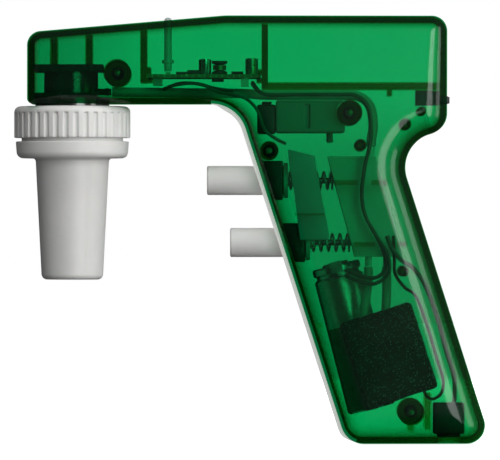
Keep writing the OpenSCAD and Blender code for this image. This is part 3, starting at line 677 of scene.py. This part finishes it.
def half_skin():
    steps = 14
    T = [math.radians(90.0 * k / steps) for k in range(steps + 1)]
    loops = [skin(t, WALL) for t in T[::-1]] + [rim(WALL, -0.01), rim(0.14, -0.01), rim(0.0, -0.15)]
    loops += [skin(t, 0.0) for t in T]
    n = len(loops[0])
    verts = [p for l in loops for p in l]
    faces = []
    for k in range(len(loops) - 1):
        for j in range(n):
            j2 = (j + 1) % n
            faces.append([k * n + j, k * n + j2, (k + 1) * n + j2, (k + 1) * n + j])
    faces.append(list(range(n)))
    faces.append([(len(loops) - 1) * n + j for j in range(n)])
    return verts, faces


def envelope(w, side):
    """Closed solid that follows the skin at depth w."""
    loops = [[(p[0], 0.5, p[2]) for p in rim(w, 0.0)]]
    loops += [skin(math.radians(90.0 * k / 8), w) for k in range(9)]
    n = len(loops[0])
    verts = [p for l in loops for p in l]
    faces = [list(range(n - 1, -1, -1)), [(len(loops) - 1) * n + j for j in range(n)]]
    for k in range(len(loops) - 1):
        for j in range(n):
            j2 = (j + 1) % n
            faces.append([k * n + j, k * n + j2, (k + 1) * n + j2, (k + 1) * n + j])
    return mirror_y((verts, faces)) if side > 0 else (verts, faces)


BOSSES = [(15.13, 68.67, 4.5), (92.33, 55.5, 4.2), (112.73, -44, 4.4), (65.6, 42.9, 3.1)]
POSTS = [(95.97, 44.7, 2), (110.9, 51.6, 1.9), (116.25, 56, 1.5), (110.14, 2.77, 1.8)]
RIBS = [
    (-7.1, -5.0, 71.6, 80.5, 12), (4.6, 6.7, 71.6, 81.5, 12), (22.8, 24.9, 65.5, 83.8, 12),
    (24.8, 26.8, 65.6, 66.95, 12), (24.8, 26.2, 68.3, 70.6, 12), (63.1, 65.2, 63.4, 85, 12),
    (61.4, 63.2, 65.6, 66.95, 12), (61.8, 63.2, 68.3, 69.8, 12), (65, 122.9, 63.3, 65.5, 10),
    (105, 106.4, 61.2, 63.4, 10), (117.3, 119.4, -50, -37.8, 7), (111.7, 113.7, -50.5, -47.6, 7)]
UPPER_Z, LOWER_Z, BR = 33.0, 12.33, 4.85


def front_x(z, d=0.0):
    a, b = np.array(PROFILE[6][:2]), np.array(PROFILE[7][:2])
    u = (b - a) / np.linalg.norm(b - a)
    n = np.array([u[1], -u[0]])
    return b[0] + (b[1] - z) * (a[0] - b[0]) / (b[1] - a[1]) + d / n[0]


def trim_stations(per=8):
    """Points along the front trim: (point, inward normal, share of its full height)."""
    out = []
    for k in range(5 * per + 1):
        j = 2 + k / per
        p, e = corner_at(6, 0.0, j / 7.0)
        out.append((p, e, min(1.0, (j - 2) / 4.0)))
    p6, p7 = out[-1][0], corner_at(7, 0.0, 0.0)[0]
    e6 = out[-1][1]
    for k in range(1, 60):
        out.append((p6 + (p7 - p6) * k / 60.0, e6, 1.0))
    for k in range(8 * per + 1):
        j = k / per
        p, e = corner_at(7, 0.0, j / 8.0)
        out.append((p, e, min(1.0, (8 - j) / 3.0)))
    return out


def trim_solid(out, depth, half, edge=0.0, x=0.0, taper=True):
    st = trim_stations()
    if x:
        d0 = st[0][0] - st[1][0]
        d1 = st[-1][0] - st[-2][0]
        st = [(st[0][0] + x * d0 / np.linalg.norm(d0), st[0][1], st[0][2])] + st + \
             [(st[-1][0] + x * d1 / np.linalg.norm(d1), st[-1][1], st[-1][2])]
    V, F = [], []
    rings = 0
    k = 0
    for p, e, f in st:
        f = f if taper else 1.0
        f = f * f * (3 - 2 * f)
        o = out * f + (0.0 if taper else 0.0)
        r = min(edge, 0.9 * (o + depth), half * 0.5)
        ring = [(-half, -depth), (-half, o - r)]
        if edge:
            for a in range(1, 7):
                t = math.pi / 2 * a / 6
                ring.append((-half + r * (1 - math.cos(t)), o - r * (1 - math.sin(t))))
            for s in (-0.5, 0.0, 0.5):
                crown = 0.12 * f * (1 - abs(s) ** 2)
                ring.append(((half - r) * s * 1.2, o + crown))
            for a in range(6, 0, -1):
                t = math.pi / 2 * a / 6
                ring.append((half - r * (1 - math.cos(t)), o - r * (1 - math.sin(t))))
        ring += [(half, o - r), (half, -depth)]
        k = len(ring)
        for y, h in ring:
            q = p - e * h
            V.append((q[0], y, q[1]))
        rings += 1
    for i in range(rings - 1):
        for j in range(k):
            j2 = (j + 1) % k
            F.append([i * k + j, i * k + j2, (i + 1) * k + j2, (i + 1) * k + j])
    F.append(list(range(k)))
    F.append([(rings - 1) * k + j for j in range(k)])
    return V, F


def mirror_y(data):
    v, f = data
    return [(x, -y, z) for x, y, z in v], [list(reversed(q)) for q in f]


def shell(side):
    """side -1 is the half on the -Y side."""
    s = -side
    sk = half_skin()
    if side > 0:
        sk = mirror_y(sk)
    ob = temp(*sk)
    adds = []

    def yy(a, b):
        return (a, b) if side < 0 else (-b, -a)

    for x, z, r in BOSSES:
        adds.append(rod(x, z, r, *yy(-H + 1, -0.03), n=64))
    for x, z, r in POSTS:
        adds.append(rod(x, z, r, *yy(-H + 1, -0.03), n=48))
    for x0, x1, z0, z1, d in RIBS:
        adds.append(box((x0, x1), yy(-H + 1.3, -H + 1.3 + d), (z0, z1), 0.0))
    if side < 0:
        adds.append(box((74, 84), (-H + 1, -11), (21.4, 22.1)))
        adds.append(box((79.6, 83.2), (-H + 1.3, -10), (-16.1, -14.5)))
        for x0, x1, z0 in ((87.4, 95, 31.5), (99.6, 104.8, 31.5), (93.7, 100.6, 11), (108.1, 111.4, 11)):
            adds.append(box((x0, x1), (-H + 1.3, -9.9), (z0, z0 + 1.5)))
    else:
        adds.append(box((87.4, 95), (7.6, H - 1.3), (31.5, 33)))
        adds.append(box((99.6, 104.8), (7.6, H - 1.3), (31.5, 33)))
        adds.append(box((93.7, 101.7), (7.6, H - 1.3), (11, 12.5)))
        adds.append(box((106.2, 111.4), (7.6, H - 1.3), (11, 12.5)))
    inside = adds[0]
    boolean(inside, adds[1:], "UNION")
    boolean(inside, [temp(*envelope(0.9, side))], "INTERSECT")
    boolean(ob, [inside], "UNION")
    cuts = [temp(*trim_solid(3, 1.05, 7.05, 0.0, 0.15, taper=False))]
    for z in (UPPER_Z, LOWER_Z):
        cuts.append(rod_x(front_x(z) - 4, front_x(z) + 6, 0, z, BR + 0.3))
    cuts.append(rod_z(0, 0, 56.4, 62.4, 12.4, 96))
    cuts.append(rod_z(31.9, 0, 80, 90, 1.32, 40))
    cuts.append(box((118, 128), (-4.6, 4.6), (58.32, 61.18)))
    cuts.append(rod_z(125.4, 0, -56.6, -50.6, 4.2, 64))
    for x, z, r in BOSSES:
        if side < 0:
            cuts.append(rod(x, z, 1.25, -14, 1))
        else:
            cuts.append(rod(x, z, 1.4, -1, H + 1))
            cuts.append(rod(x, z, 2.5, 8.15, H + 1))
    for x, z, r in POSTS:
        cuts.append(rod(x, z, 0.8, -4, 1) if side < 0 else rod(x, z, 0.8, -1, 4))
    boolean(ob, cuts, "DIFFERENCE")
    ob.name = "shell_left" if side < 0 else "shell_right"
    ob.data.name = ob.name
    dress(ob, "green_shell", "housing", ["left_shell" if side < 0 else "right_shell"], 24)
    w = ob.modifiers.new("weighted", "WEIGHTED_NORMAL")
    w.weight = 100
    w.keep_sharp = True
    return ob


shell(-1)
shell(1)

# ---------------------------------------------------------------- front trim

trim = temp(*trim_solid(1.1, 1.0, 7.0, 0.7))
boolean(trim, [rod_x(front_x(z) - 6, front_x(z) + 6, 0, z, BR + 0.12, 96) for z in (UPPER_Z, LOWER_Z)])
trim.name = trim.data.name = "front_strip"
dress(trim, "trim_white", "housing", ["front_trim"], 30)

# ---------------------------------------------------------------- nose

lathe("cone", [(6.3, 0, 0.5), (10.2, 0, 1.9), (12.25, 40.4, 1.2), (16.6, 40.4, 0), (18.55, 42.6, 0)]
      [:3] + [(16.4, 40.4)] + [(16.4 + 2.2 * math.sin(a), 42.6 - 2.2 * math.cos(a))
                               for a in [math.pi / 2 * k / 10 for k in range(1, 11)]]
      + [(18.83, 45.7, 0.25), (18.6, 46.0, 0.15), (16.9, 46), (16.9, 48.8), (17.3, 49), (17.3, 51), (13.6, 51), (13.6, 41.5),
         (10.2, 41.5), (8.3, 2.2), (6.3, 2.2)],
      "white_plastic", "nose", ["nosecone"], n=160, steps=8, angle=30)

g = 3.75
holder = [(g + 1.6, 2.4, 0.3), (8.05, 2.4), (9.8, 41.6), (13.4, 41.6), (13.4, 43.4), (2.6, 43.4), (2.6, 31),
          (g, 31), (g, 4.6, 0.8)]
lathe("holder_sleeve", holder, "silicone", "nose", ["pipette_holder"], n=128, steps=6)


def collar():
    R = 19.35
    n = 36 * 24
    levels = [(R - 0.35, 47.2), (R - 0.1, 47.27), (R, 47.5)]
    z = 47.5
    levels += [(R, 47.5 + 8.2 * k / 16) for k in range(1, 17)]
    levels += [(R - 2 + 2 * math.cos(a), 55.7 + 2 * math.sin(a)) for a in
               [math.pi / 2 * k / 12 for k in range(1, 13)]]
    inner = [(12.6, 57.7), (12.38, 57.5), (12.38, 51.5), (17.6, 51.5), (17.6, 48.75), (16.98, 48.55), (16.98, 47.2)]
    V = []
    rows = levels + inner
    for li, (r, z) in enumerate(rows):
        for i in range(n):
            a = 2 * math.pi * i / n
            rr = r
            if li < len(levels):
                ph = (i / n * 36 - 0.5) % 1.0
                ph = min(ph, 1 - ph) * 2 * math.pi * R / 36
                w = 0.85
                end = 55.1 + math.sqrt(max(0.0, 1 - min(1.0, ph / w) ** 2)) * 0.7
                side = max(0.0, 1 - (ph / w) ** 2)
                cap = min(1.0, max(0.0, (end - z) / 0.5))
                rr = r - 0.62 * math.sqrt(side) * cap * cap * (3 - 2 * cap) if z < 57.4 else r
            V.append((rr * math.cos(a), rr * math.sin(a), z))
    F = []
    m = len(rows)
    for j in range(m):
        for i in range(n):
            i2 = (i + 1) % n
            j2 = (j + 1) % m
            F.append([j * n + i, j * n + i2, j2 * n + i2, j2 * n + i])
    build("ribbed_collar", V, F, "white_plastic", "collar", ["collar_ring"], 38)


collar()

# ---------------------------------------------------------------- buttons, guides, springs


def button(name, tip, stop, z, node):
    L = stop - tip
    prof = [(0, 0.12), (2.5, 0.1), (BR - 1.2, 0.0, 0.3), (BR, 0.02, 1.0), (BR, L), (BR + 1, L, 0.2),
            (BR + 1, L + 1.5, 0.3), (2, L + 1.5), (2, L + 3, 0.2), (1.02, L + 3), (1.02, L - 6), (0, L - 6)]
    lathe(name, prof, "button_white", name.replace("cap", "button_set"), [node], n=96,
          origin=(tip, 0, z), axis="x", steps=8)


button("upper_cap", 44.9, 70.4, UPPER_Z, "upper_button")
button("lower_cap", 52.6, 77.8, LOWER_Z, "lower_button")

for name, x0, x1, z, node, body in (("upper_pin", 64.5, 97, UPPER_Z, "upper_stem", "upper_button_set"),
                                    ("lower_pin", 71.9, 102.6, LOWER_Z, "lower_stem", "lower_button_set")):
    L = x1 - x0
    lathe(name, [(0, 0), (1, 0, 0.15), (1, L - 0.6, 0.1), (0.5, L, 0.15), (0, L)], "steel_x", body,
          [node], n=48, origin=(x0, 0, z), axis="x")


def guide(name, z, x1, node, top):
    poly = [(front_x(z + 6.5, 2.1), min(z + 6.5, top)), (x1, min(z + 6.5, top)), (x1, z - 6.5),
            (front_x(z - 6.5, 2.1), z - 6.5)]
    ob = temp(*prism_data(poly, -6.4, 6.4, 0.45))
    boolean(ob, [rod_x(front_x(z) - 8, x1 + 5, 0, z, BR + 0.1, 96)])
    ob.name = ob.data.name = name
    dress(ob, "black_plastic", "housing", [node], 30)


guide("upper_bushing", UPPER_Z, 70.2, "upper_button_guide", 39.5)
guide("lower_bushing", LOWER_Z, 77.6, "lower_button_guide", 40)


def spring(name, x0, x1, z, turns, node):
    R, r = 2.85, 0.35
    steps, sides = 36, 10
    n = turns * steps
    pts = []
    for i in range(n + 1):
        t = i / n
        a = 2 * math.pi * turns * t
        end = 0.1
        if t < end:
            s = 0.25 * t
        elif t > 1 - end:
            s = 1 - 0.25 * (1 - t)
        else:
            s = 0.25 * end + (t - end) * (1 - 0.5 * end) / (1 - 2 * end)
        pts.append((x0 + r + (x1 - x0 - 2 * r) * s, R * math.cos(a), z + R * math.sin(a)))
    V, F = tube_data(pts, r, sides)
    ob = build(name, V, F, "steel_x", "housing", [node], 60, ride=False)
    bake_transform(ob)


spring("upper_return_spring", 71.95, 87.1, UPPER_Z, 7, "upper_spring")
spring("lower_return_spring", 79.35, 92.75, LOWER_Z, 6, "lower_spring")

# ---------------------------------------------------------------- screws


def screws():
    parts = []
    for x, z, r in BOSSES:
        prof = fillet([(0, -11), (0.9, -11, 0.1), (1.2, -10.5)] + [
            q for k in range(38) for q in ((1.2, -10.4 + k * 0.5), (0.98, -10.15 + k * 0.5))]
            + [(1.2, 8.6), (2.3, 8.6, 0.1), (2.3, 9.2, 0.5), (1.2, 9.95, 0.1), (1.1, 9.95), (1.1, 8.95), (0, 8.85)], 4)
        v, f = lathe_data(prof, 36, closed=False)
        parts.append((place(v, (x, 0, z), "y"), f))
    V, F = joined(*parts)
    ob = temp(V, F)
    ob.name = ob.data.name = "shell_screws"
    dress(ob, "steel", "housing", ["housing_screws"], 30)


screws()

# ---------------------------------------------------------------- hoses and wires

MAIN = [(13.3, 0, 62.5), (20, 0.6, 62.4), (28, 3, 62.4), (38, 5, 62.3), (56, 5, 62.1), (64, 5, 61.6),
        (75, 5, 61.55), (90, 5, 61.55), (95.6, 5, 61.1), (99.2, 5, 58), (100.4, 5, 52), (99.8, 4.2, 47),
        (99.7, 4, 44.5)]
V, F = tube_data(spline(MAIN, 8), 1.6, 20)
build("air_hose", V, F, "hose", "housing", ["main_hose"], 40)
V, F = joined(
    tube_data(spline([(98.6, -4.5, 4.2), (98.6, -4.8, 0), (97.8, -7.6, -6), (96.9, -8.3, -11.8), (97.5, -8.3, -13.2)], 8),
              1.5, 20),
    tube_data(spline([(104.6, -4.5, 4.2), (104.7, -4.8, 0), (104.6, -7.6, -5.4), (104.4, -8.3, -9.6), (104.9, -8.3, -11)],
                     8), 1.5, 20))
build("pump_hose_pair", V, F, "hose", "housing", ["pump_hoses"], 40)

V, F = joined(
    tube_data(spline([(30.6, -2, 63.2), (33.5, -7, 64.4), (39.2, -9, 65.2), (44.2, -9.4, 64.4), (48, -9.8, 62.6),
                      (53, -10.3, 61.4), (58, -10.8, 60), (61.8, -11.2, 56), (64, -11.2, 50), (67.4, -11, 47),
                      (71, -9.4, 45.2)], 8), 0.55, 12),
    tube_data(spline([(30.6, 0, 63.6), (36, -4.6, 65.3), (42, -6.6, 65.1), (47.6, -7.2, 63.6), (54, -12.2, 62.6)], 8),
              0.55, 12))
build("board_wires", V, F, "cable_black", "housing", ["board_lead"], 40)


def battery_path(s):
    return [(60, -5.2 - 1.8 * s, 65.6 - 0.6 * s), (64, -9.4 - 1.7 * s, 61.6), (75, -11 - 1.7 * s, 61.4),
            (88, -11 - 1.7 * s, 61.4), (94.4, -11 - 1.7 * s, 61.1), (98.4, -11 - 1.7 * s, 57.4),
            (99.4, -11 - 1.7 * s, 50), (98.9, -11 - 1.7 * s, 44.4), (97.2, -11 - 1.7 * s, 37),
            (96.3, -11 - 1.7 * s, 28), (97.6, -11 - 1.7 * s, 21), (101.2, -11 - 1.7 * s, 14.4),
            (103.8 + s, -10.4 - 1.7 * s, 8.6), (104 + 1.2 * s, -9.8 - 1.6 * s, 3.4 - s),
            (100.6, -9.4 - 1.2 * s, 0.6 - 1.9 * s), (95, -6.8 - s, 1.6 - 2 * s), (91.2, -3.6 - 0.8 * s, 3.2 - 2 * s)]


V, F = joined(*[tube_data(spline(battery_path(s), 8), 0.65, 12) for s in (0, 1)])
build("battery_wires", V, F, "cable_black", "housing", ["battery_lead"], 40)
V, F = tube_data(spline([(104.6, -13.4, 14.6), (106.6, -13.2, 9.8), (109.6, -12.8, 6.4), (113.6, -12, 3.6),
                         (117.4, -10.5, -2), (121.2, -8.5, -11.8), (124.4, -6.5, -23.5), (127, -4.6, -32),
                         (127.4, -2, -38.4), (127.2, -1, -40.6)], 8), 0.75, 12)
build("charge_wire", V, F, "cable_black", "housing", ["charge_lead"], 40)
V, F = tube_data(spline([(106.8, -10.6, 14.6), (107.1, -10.6, 7), (107.4, -10.4, 2), (110.4, -10.4, -2.4),
                         (114.2, -10.4, -5.4), (117.6, -10.4, -14), (121.2, -10.2, -26), (123.3, -9.4, -33),
                         (122.8, -8.6, -37.6), (120, -8.4, -39.6), (117.7, -8.35, -38.4), (116.8, -8.35, -35.6)], 8),
                 0.55, 12)
build("motor_wire", V, F, "cable_red", "housing", ["motor_lead"], 40)

# ---------------------------------------------------------------- pump and battery


def turned(p, origin, degrees):
    """Local x, z frame turned about Y the way the CAD frames are."""
    a = math.radians(degrees)
    c, s = math.cos(a), math.sin(a)
    return [(origin[0] + x * c + z * s, origin[1] + y, origin[2] - x * s + z * c) for x, y, z in p]


def pump_frame(p):
    return turned(p, (105.2, 0, -25.2), -18)


def cell_frame(p):
    return turned(p, (87.7, 15.5 - 8.4, 5.2), -14.4)


PY = -8.35


def foam():
    bm = bmesh.new()
    v, f = box_data((-12.4, 12.4), (-15.05, -1.6), (-14.9, 14.9), 1.6, 4)
    vs = [bm.verts.new(p) for p in v]
    for q in f:
        bm.faces.new([vs[i] for i in q])
    bmesh.ops.recalc_face_normals(bm, faces=bm.faces)
    for _ in range(5):
        long = [e for e in bm.edges if e.calc_length() > 0.9]
        if not long:
            break
        bmesh.ops.subdivide_edges(bm, edges=long, cuts=1, use_grid_fill=True)
    bmesh.ops.triangulate(bm, faces=[q for q in bm.faces if len(q.verts) > 4])
    bm.normal_update()
    for q in bm.verts:
        n1 = noise.noise(q.co * 0.16 + Vector((3, 1, 7)))
        n2 = noise.noise(q.co * 0.9)
        n3 = noise.noise(q.co * 2.3 + Vector((9, 4, 2)))
        q.co += q.normal * (0.25 * n1 + 0.16 * n2 + 0.12 * n3)
    bm.verts.index_update()
    v = [tuple(q.co) for q in bm.verts]
    f = [[q.index for q in p.verts] for p in bm.faces]
    bm.free()
    iv, iff = box_data((-10.6, 10.6), (-14, -2.7), (-13.2, 13.2), 0.6, 2)
    ob = temp(pump_frame(v), f)
    inner = temp(pump_frame(iv), iff)
    tools = [inner]
    for x in (-4, 4):
        cv, cf = lathe_data([(0, 11), (1.75, 11), (1.75, 18), (0, 18)], 32, closed=False)
        tools.append(temp(pump_frame(place(cv, (x, PY, 0))), cf))
    cv, cf = lathe_data([(0, -18), (1.2, -18), (1.2, -11), (0, -11)], 32, closed=False)
    tools.append(temp(pump_frame(place(cv, (7.6, PY, 0))), cf))
    boolean(ob, tools)
    ob.name = ob.data.name = "foam_wrap"
    dress(ob, "foam", "housing", ["pump_foam"], 40)


foam()

cell = [(0, -50), (7.6, -50, 0.3), (8.08, -49.4, 0.3), (8.08, -4.75, 0.25)] + \
       [(8.08 - 0.9 * math.sin(a), -4.4 + 0.8 * (1 - math.cos(a))) for a in [math.pi * k / 12 for k in range(1, 12)]] + \
       [(8.08, -2.6, 0.2), (8.08, -0.8, 0.3), (7.6, -0.4, 0.2), (4.4, -0.4), (4.2, 0.4, 0.2), (0, 0.4)]
v, f = lathe_data(fillet(cell), 128, closed=False)
build("power_cell", cell_frame(v), f, "steel_z", "housing", ["battery_can"], 30)
sl = fillet([(8.1, -49.4), (8.22, -49.45, 0.05), (8.28, -49.2), (8.25, -48.6), (8.25, -5.6), (8.29, -5.1), (8.2, -4.85, 0.05),
             (8.1, -4.85)])
v, f = lathe_data(sl, 128)
build("cell_film", cell_frame(v), f, "sleeve_film", "housing", ["battery_sleeve"], 30)

# ---------------------------------------------------------------- small fittings

lathe("light_guide", [(0, 69.4), (1.25, 69.4, 0.15), (1.25, 72), (2, 72, 0.2), (2, 73.2, 0.2), (1.25, 73.2),
                      (1.25, 86.2)] + [(1.25 * math.cos(a), 86.2 + 1.1 * math.sin(a)) for a in
                                       [math.pi / 2 * k / 8 for k in range(1, 8)]] + [(0, 87.3)],
      "clear_plastic", "housing", ["light_pipe"], n=48, origin=(31.9, 0, 0))


def slider():
    parts = [box_data((120.6, 125.2), (-2.5, 2.5), (58.4, 61.1), 0.35, 3),
             box_data((120.6, 122.3), (-5.2, 5.2), (58.1, 62.8), 0.2, 2),
             box_data((119, 120.9), (-1.6, 1.6), (59.4, 61.4), 0.2, 2)]
    ob = temp(*parts[0])
    adds = [temp(*p) for p in parts[1:]]
    for k in range(4):
        y = -1.8 + 1.2 * k
        adds.append(box((124.6, 125.7), (y - 0.25, y + 0.25), (58.65, 60.85), 0.2, 2))
    boolean(ob, adds, "UNION")
    ob.name = ob.data.name = "mode_knob_slider"
    dress(ob, "black_plastic", "mode_knob", ["mode_slider"], 30)


slider()

so = box((120.2, 130.6), (-5, 5), (-51.4, -41), 0.6, 4)
v, f = lathe_data([(0, -52.5), (3.9, -52.5), (3.9, -50.5), (0, -50.5)], 64, closed=False)
boolean(so, [temp(place(v, (125.4, 0, 0)), f)], "UNION")
v, f = lathe_data([(0, -53), (2.3, -53), (1.8, -52.2), (1.8, -43), (0, -43)], 64, closed=False)
boolean(so, [temp(place(v, (125.4, 0, 0)), f)])
so.name = so.data.name = "charge_jack"
dress(so, "black_plastic", "housing", ["charge_socket"], 30)


def manifold():
    ob = box((67.8, 90.7), (-9, 9), (48.8, 59.6), 0.8, 4)
    v, f = lathe_data([(0, 45.6), (0.9, 45.6), (1.1, 46.0), (1.3, 46.6), (1.1, 46.7), (1.1, 49.5), (0, 49.5)], 32,
                      closed=False)
    boolean(ob, [temp(place(v, (85.8, 2, 0)), f)], "UNION")
    tools = [rod(92.33, 55.5, 4.4, -12, 12, 64), box((77.2, 79.2), (-10, -7.6), (50.2, 58.2)),
             box((69.4, 86), (-7.2, 7.2), (50.4, 58), 0.5, 2)]
    boolean(ob, tools)
    ob.name = ob.data.name = "manifold_block"
    dress(ob, "grey_plastic", "housing", ["air_manifold"], 30)


manifold()
V, F = joined(box_data((61.6, 67.75), (-8, 8), (48.5, 58.2), 0.7, 4))
ob = temp(V, F)
boolean(ob, [box((63.2, 66.4), (-6, 6), (57, 59.2), 0.3, 3)], "UNION")
ob.name = ob.data.name = "manifold_end"
dress(ob, "black_plastic", "housing", ["manifold_cap"], 30)

bracket = temp(*prism_data([(71.8, 43.3), (80.7, 41.1), (81.6, 34.8), (85.6, 14.7), (85.2, 13.2), (75.9, 13.2),
                            (75.4, 16.9), (74, 28.6), (72.5, 36)], -9.4, -8.0, 0.25, 3))
boolean(bracket, [box((72.6, 79), (-8.4, -6.6), (40.4, 41.4), 0.15, 2)], "UNION")
bracket.name = bracket.data.name = "tie_bracket"
dress(bracket, "teal_plastic", "housing", ["valve_bracket"], 30)

# ---------------------------------------------------------------- CAD pieces that stay

KEEP = {
    "nose_mount": "mount_black", "nose_seal": "black_rubber", "filter_housing": "ivory_plastic",
    "filter_membrane": "membrane", "valve_body": "frosted_plastic", "valve_seals": "black_rubber",
    "control_board": "board_green", "board_chips": "chip", "inductor_core": "ferrite",
    "inductor_winding": "copper", "capacitors": "steel_z", "board_connectors": "ivory_plastic",
    "status_led": "ivory_plastic", "pump_head": "grey_plastic", "pump_diaphragm": "black_rubber",
    "motor_can": "steel_z", "motor_magnets": "motor_dark", "motor_end_cap": "black_plastic",
    "motor_terminals": "brass_contact", "motor_armature": "copper", "motor_shaft": "steel_z",
    "eccentric": "ivory_plastic", "battery_tabs": "steel", "socket_pin": "steel_z", "switch_body": "black_plastic"}
SLOT_NAMES = {"steel_x": "steel", "steel_z": "steel", "white_satin": "white_plastic", "chip": "black_plastic",
              "motor_dark": "ferrite", "mount_black": "black_plastic"}
for n, key in KEEP.items():
    o = NODES[n]
    if not o.material_slots:
        o.data.materials.append(M[key])
    for s in o.material_slots:
        s.material = M[key]

# ---------------------------------------------------------------- floor, light, camera


def floor():
    me = bpy.data.meshes.new("floor")
    s = 3.0
    z = -0.0549
    me.from_pydata([(-s, -s, z), (s, -s, z), (s, s, z), (-s, s, z)], [], [(0, 1, 2, 3)])
    ob = bpy.data.objects.new("floor", me)
    bpy.context.scene.collection.objects.link(ob)
    k = Mat("floor")
    vec = k.coords()
    tone = k.ramp(k.noise(30.0, 3.0, 0.5, vec), 0.84, 0.86)
    col = k.n("CombineColor")
    for i in range(3):
        k.set(col, i, tone)
    d = k.n("BsdfDiffuse")
    k.set(d, "Color", col.outputs[0])
    lp = k.t.nodes.new("ShaderNodeLightPath")
    em = k.n("Emission", Color=(1, 1, 1, 1))
    k.set(em, "Strength", k.math("MULTIPLY", lp.outputs["Is Camera Ray"], 0.92))
    add = k.n("AddShader")
    k.set(add, 0, d)
    k.set(add, 1, em)
    k.set(k.out, "Surface", add.outputs[0])
    me.materials.append(k.m)
    ob.visible_glossy = False
    ob.visible_diffuse = False


floor()

world = bpy.data.worlds.new("world")
bpy.context.scene.world = world
world.use_nodes = True
t = world.node_tree
t.nodes.clear()
out = t.nodes.new("ShaderNodeOutputWorld")
lp = t.nodes.new("ShaderNodeLightPath")
tc = t.nodes.new("ShaderNodeTexCoord")
sep = t.nodes.new("ShaderNodeSeparateXYZ")
t.links.new(tc.outputs["Generated"], sep.inputs[0])


def wmath(op, a, b):
    n = t.nodes.new("ShaderNodeMath")
    n.operation = op
    for i, v in enumerate((a, b)):
        if isinstance(v, bpy.types.NodeSocket):
            t.links.new(v, n.inputs[i])
        else:
            n.inputs[i].default_value = v
    return n.outputs[0]


# Reflections see a dark room that is a little lighter above and to the right; diffuse surfaces see more.
side = wmath("ADD", wmath("MULTIPLY", wmath("MAXIMUM", sep.outputs[0], 0.0), 0.12),
             wmath("MULTIPLY", wmath("MAXIMUM", sep.outputs[2], 0.0), 0.10))
room = wmath("ADD", wmath("ADD", 0.012, side), wmath("MULTIPLY", lp.outputs["Is Diffuse Ray"], 0.085))
bg_cam = t.nodes.new("ShaderNodeBackground")
bg_cam.inputs[0].default_value = (1, 1, 1, 1)
bg_cam.inputs[1].default_value = 1.0
bg_room = t.nodes.new("ShaderNodeBackground")
bg_room.inputs[0].default_value = (1, 1, 1, 1)
t.links.new(room, bg_room.inputs[1])
mix = t.nodes.new("ShaderNodeMixShader")
t.links.new(lp.outputs["Is Camera Ray"], mix.inputs[0])
t.links.new(bg_room.outputs[0], mix.inputs[1])
t.links.new(bg_cam.outputs[0], mix.inputs[2])
t.links.new(mix.outputs[0], out.inputs[0])


def area(name, loc, target, size, energy, color=(1, 1, 1), size_y=None):
    ld = bpy.data.lights.new(name, "AREA")
    ld.energy = energy
    ld.color = color
    ld.size = size
    if size_y:
        ld.shape = "RECTANGLE"
        ld.size_y = size_y
    ob = bpy.data.objects.new(name, ld)
    bpy.context.scene.collection.objects.link(ob)
    ob.location = loc
    ob.visible_camera = False
    d = Vector(target) - Vector(loc)
    ob.rotation_euler = d.to_track_quat("-Z", "Y").to_euler()
    return ob


C = (0.06, 0.0, 0.02)
area("key", (0.50, -0.98, 0.12), C, 0.50, 8.4, size_y=1.1)
area("side", (1.0, -0.35, 0.15), C, 0.35, 3.0, size_y=0.9)
area("fill", (-0.75, -0.8, 0.35), C, 0.5, 0.3)
area("top", (0.1, -0.3, 0.9), C, 0.5, 3.2).visible_glossy = False
area("rear", (0.2, 0.9, 0.35), C, 0.7, 3.2).visible_glossy = False

cam = bpy.data.cameras.new("camera")
cam.lens = 500
cam.sensor_width = 36
cam.clip_end = 50
co = bpy.data.objects.new("camera", cam)
bpy.context.scene.collection.objects.link(co)
co.location = (0.05923, -2.315, 0.0165)
co.rotation_euler = (math.radians(90), 0, 0)
bpy.context.scene.camera = co

try:
    bpy.context.scene.view_settings.view_transform = "Standard"
    bpy.context.scene.view_settings.look = "None"
    bpy.context.scene.cycles.transparent_max_bounces = 48
except (AttributeError, TypeError):
    pass
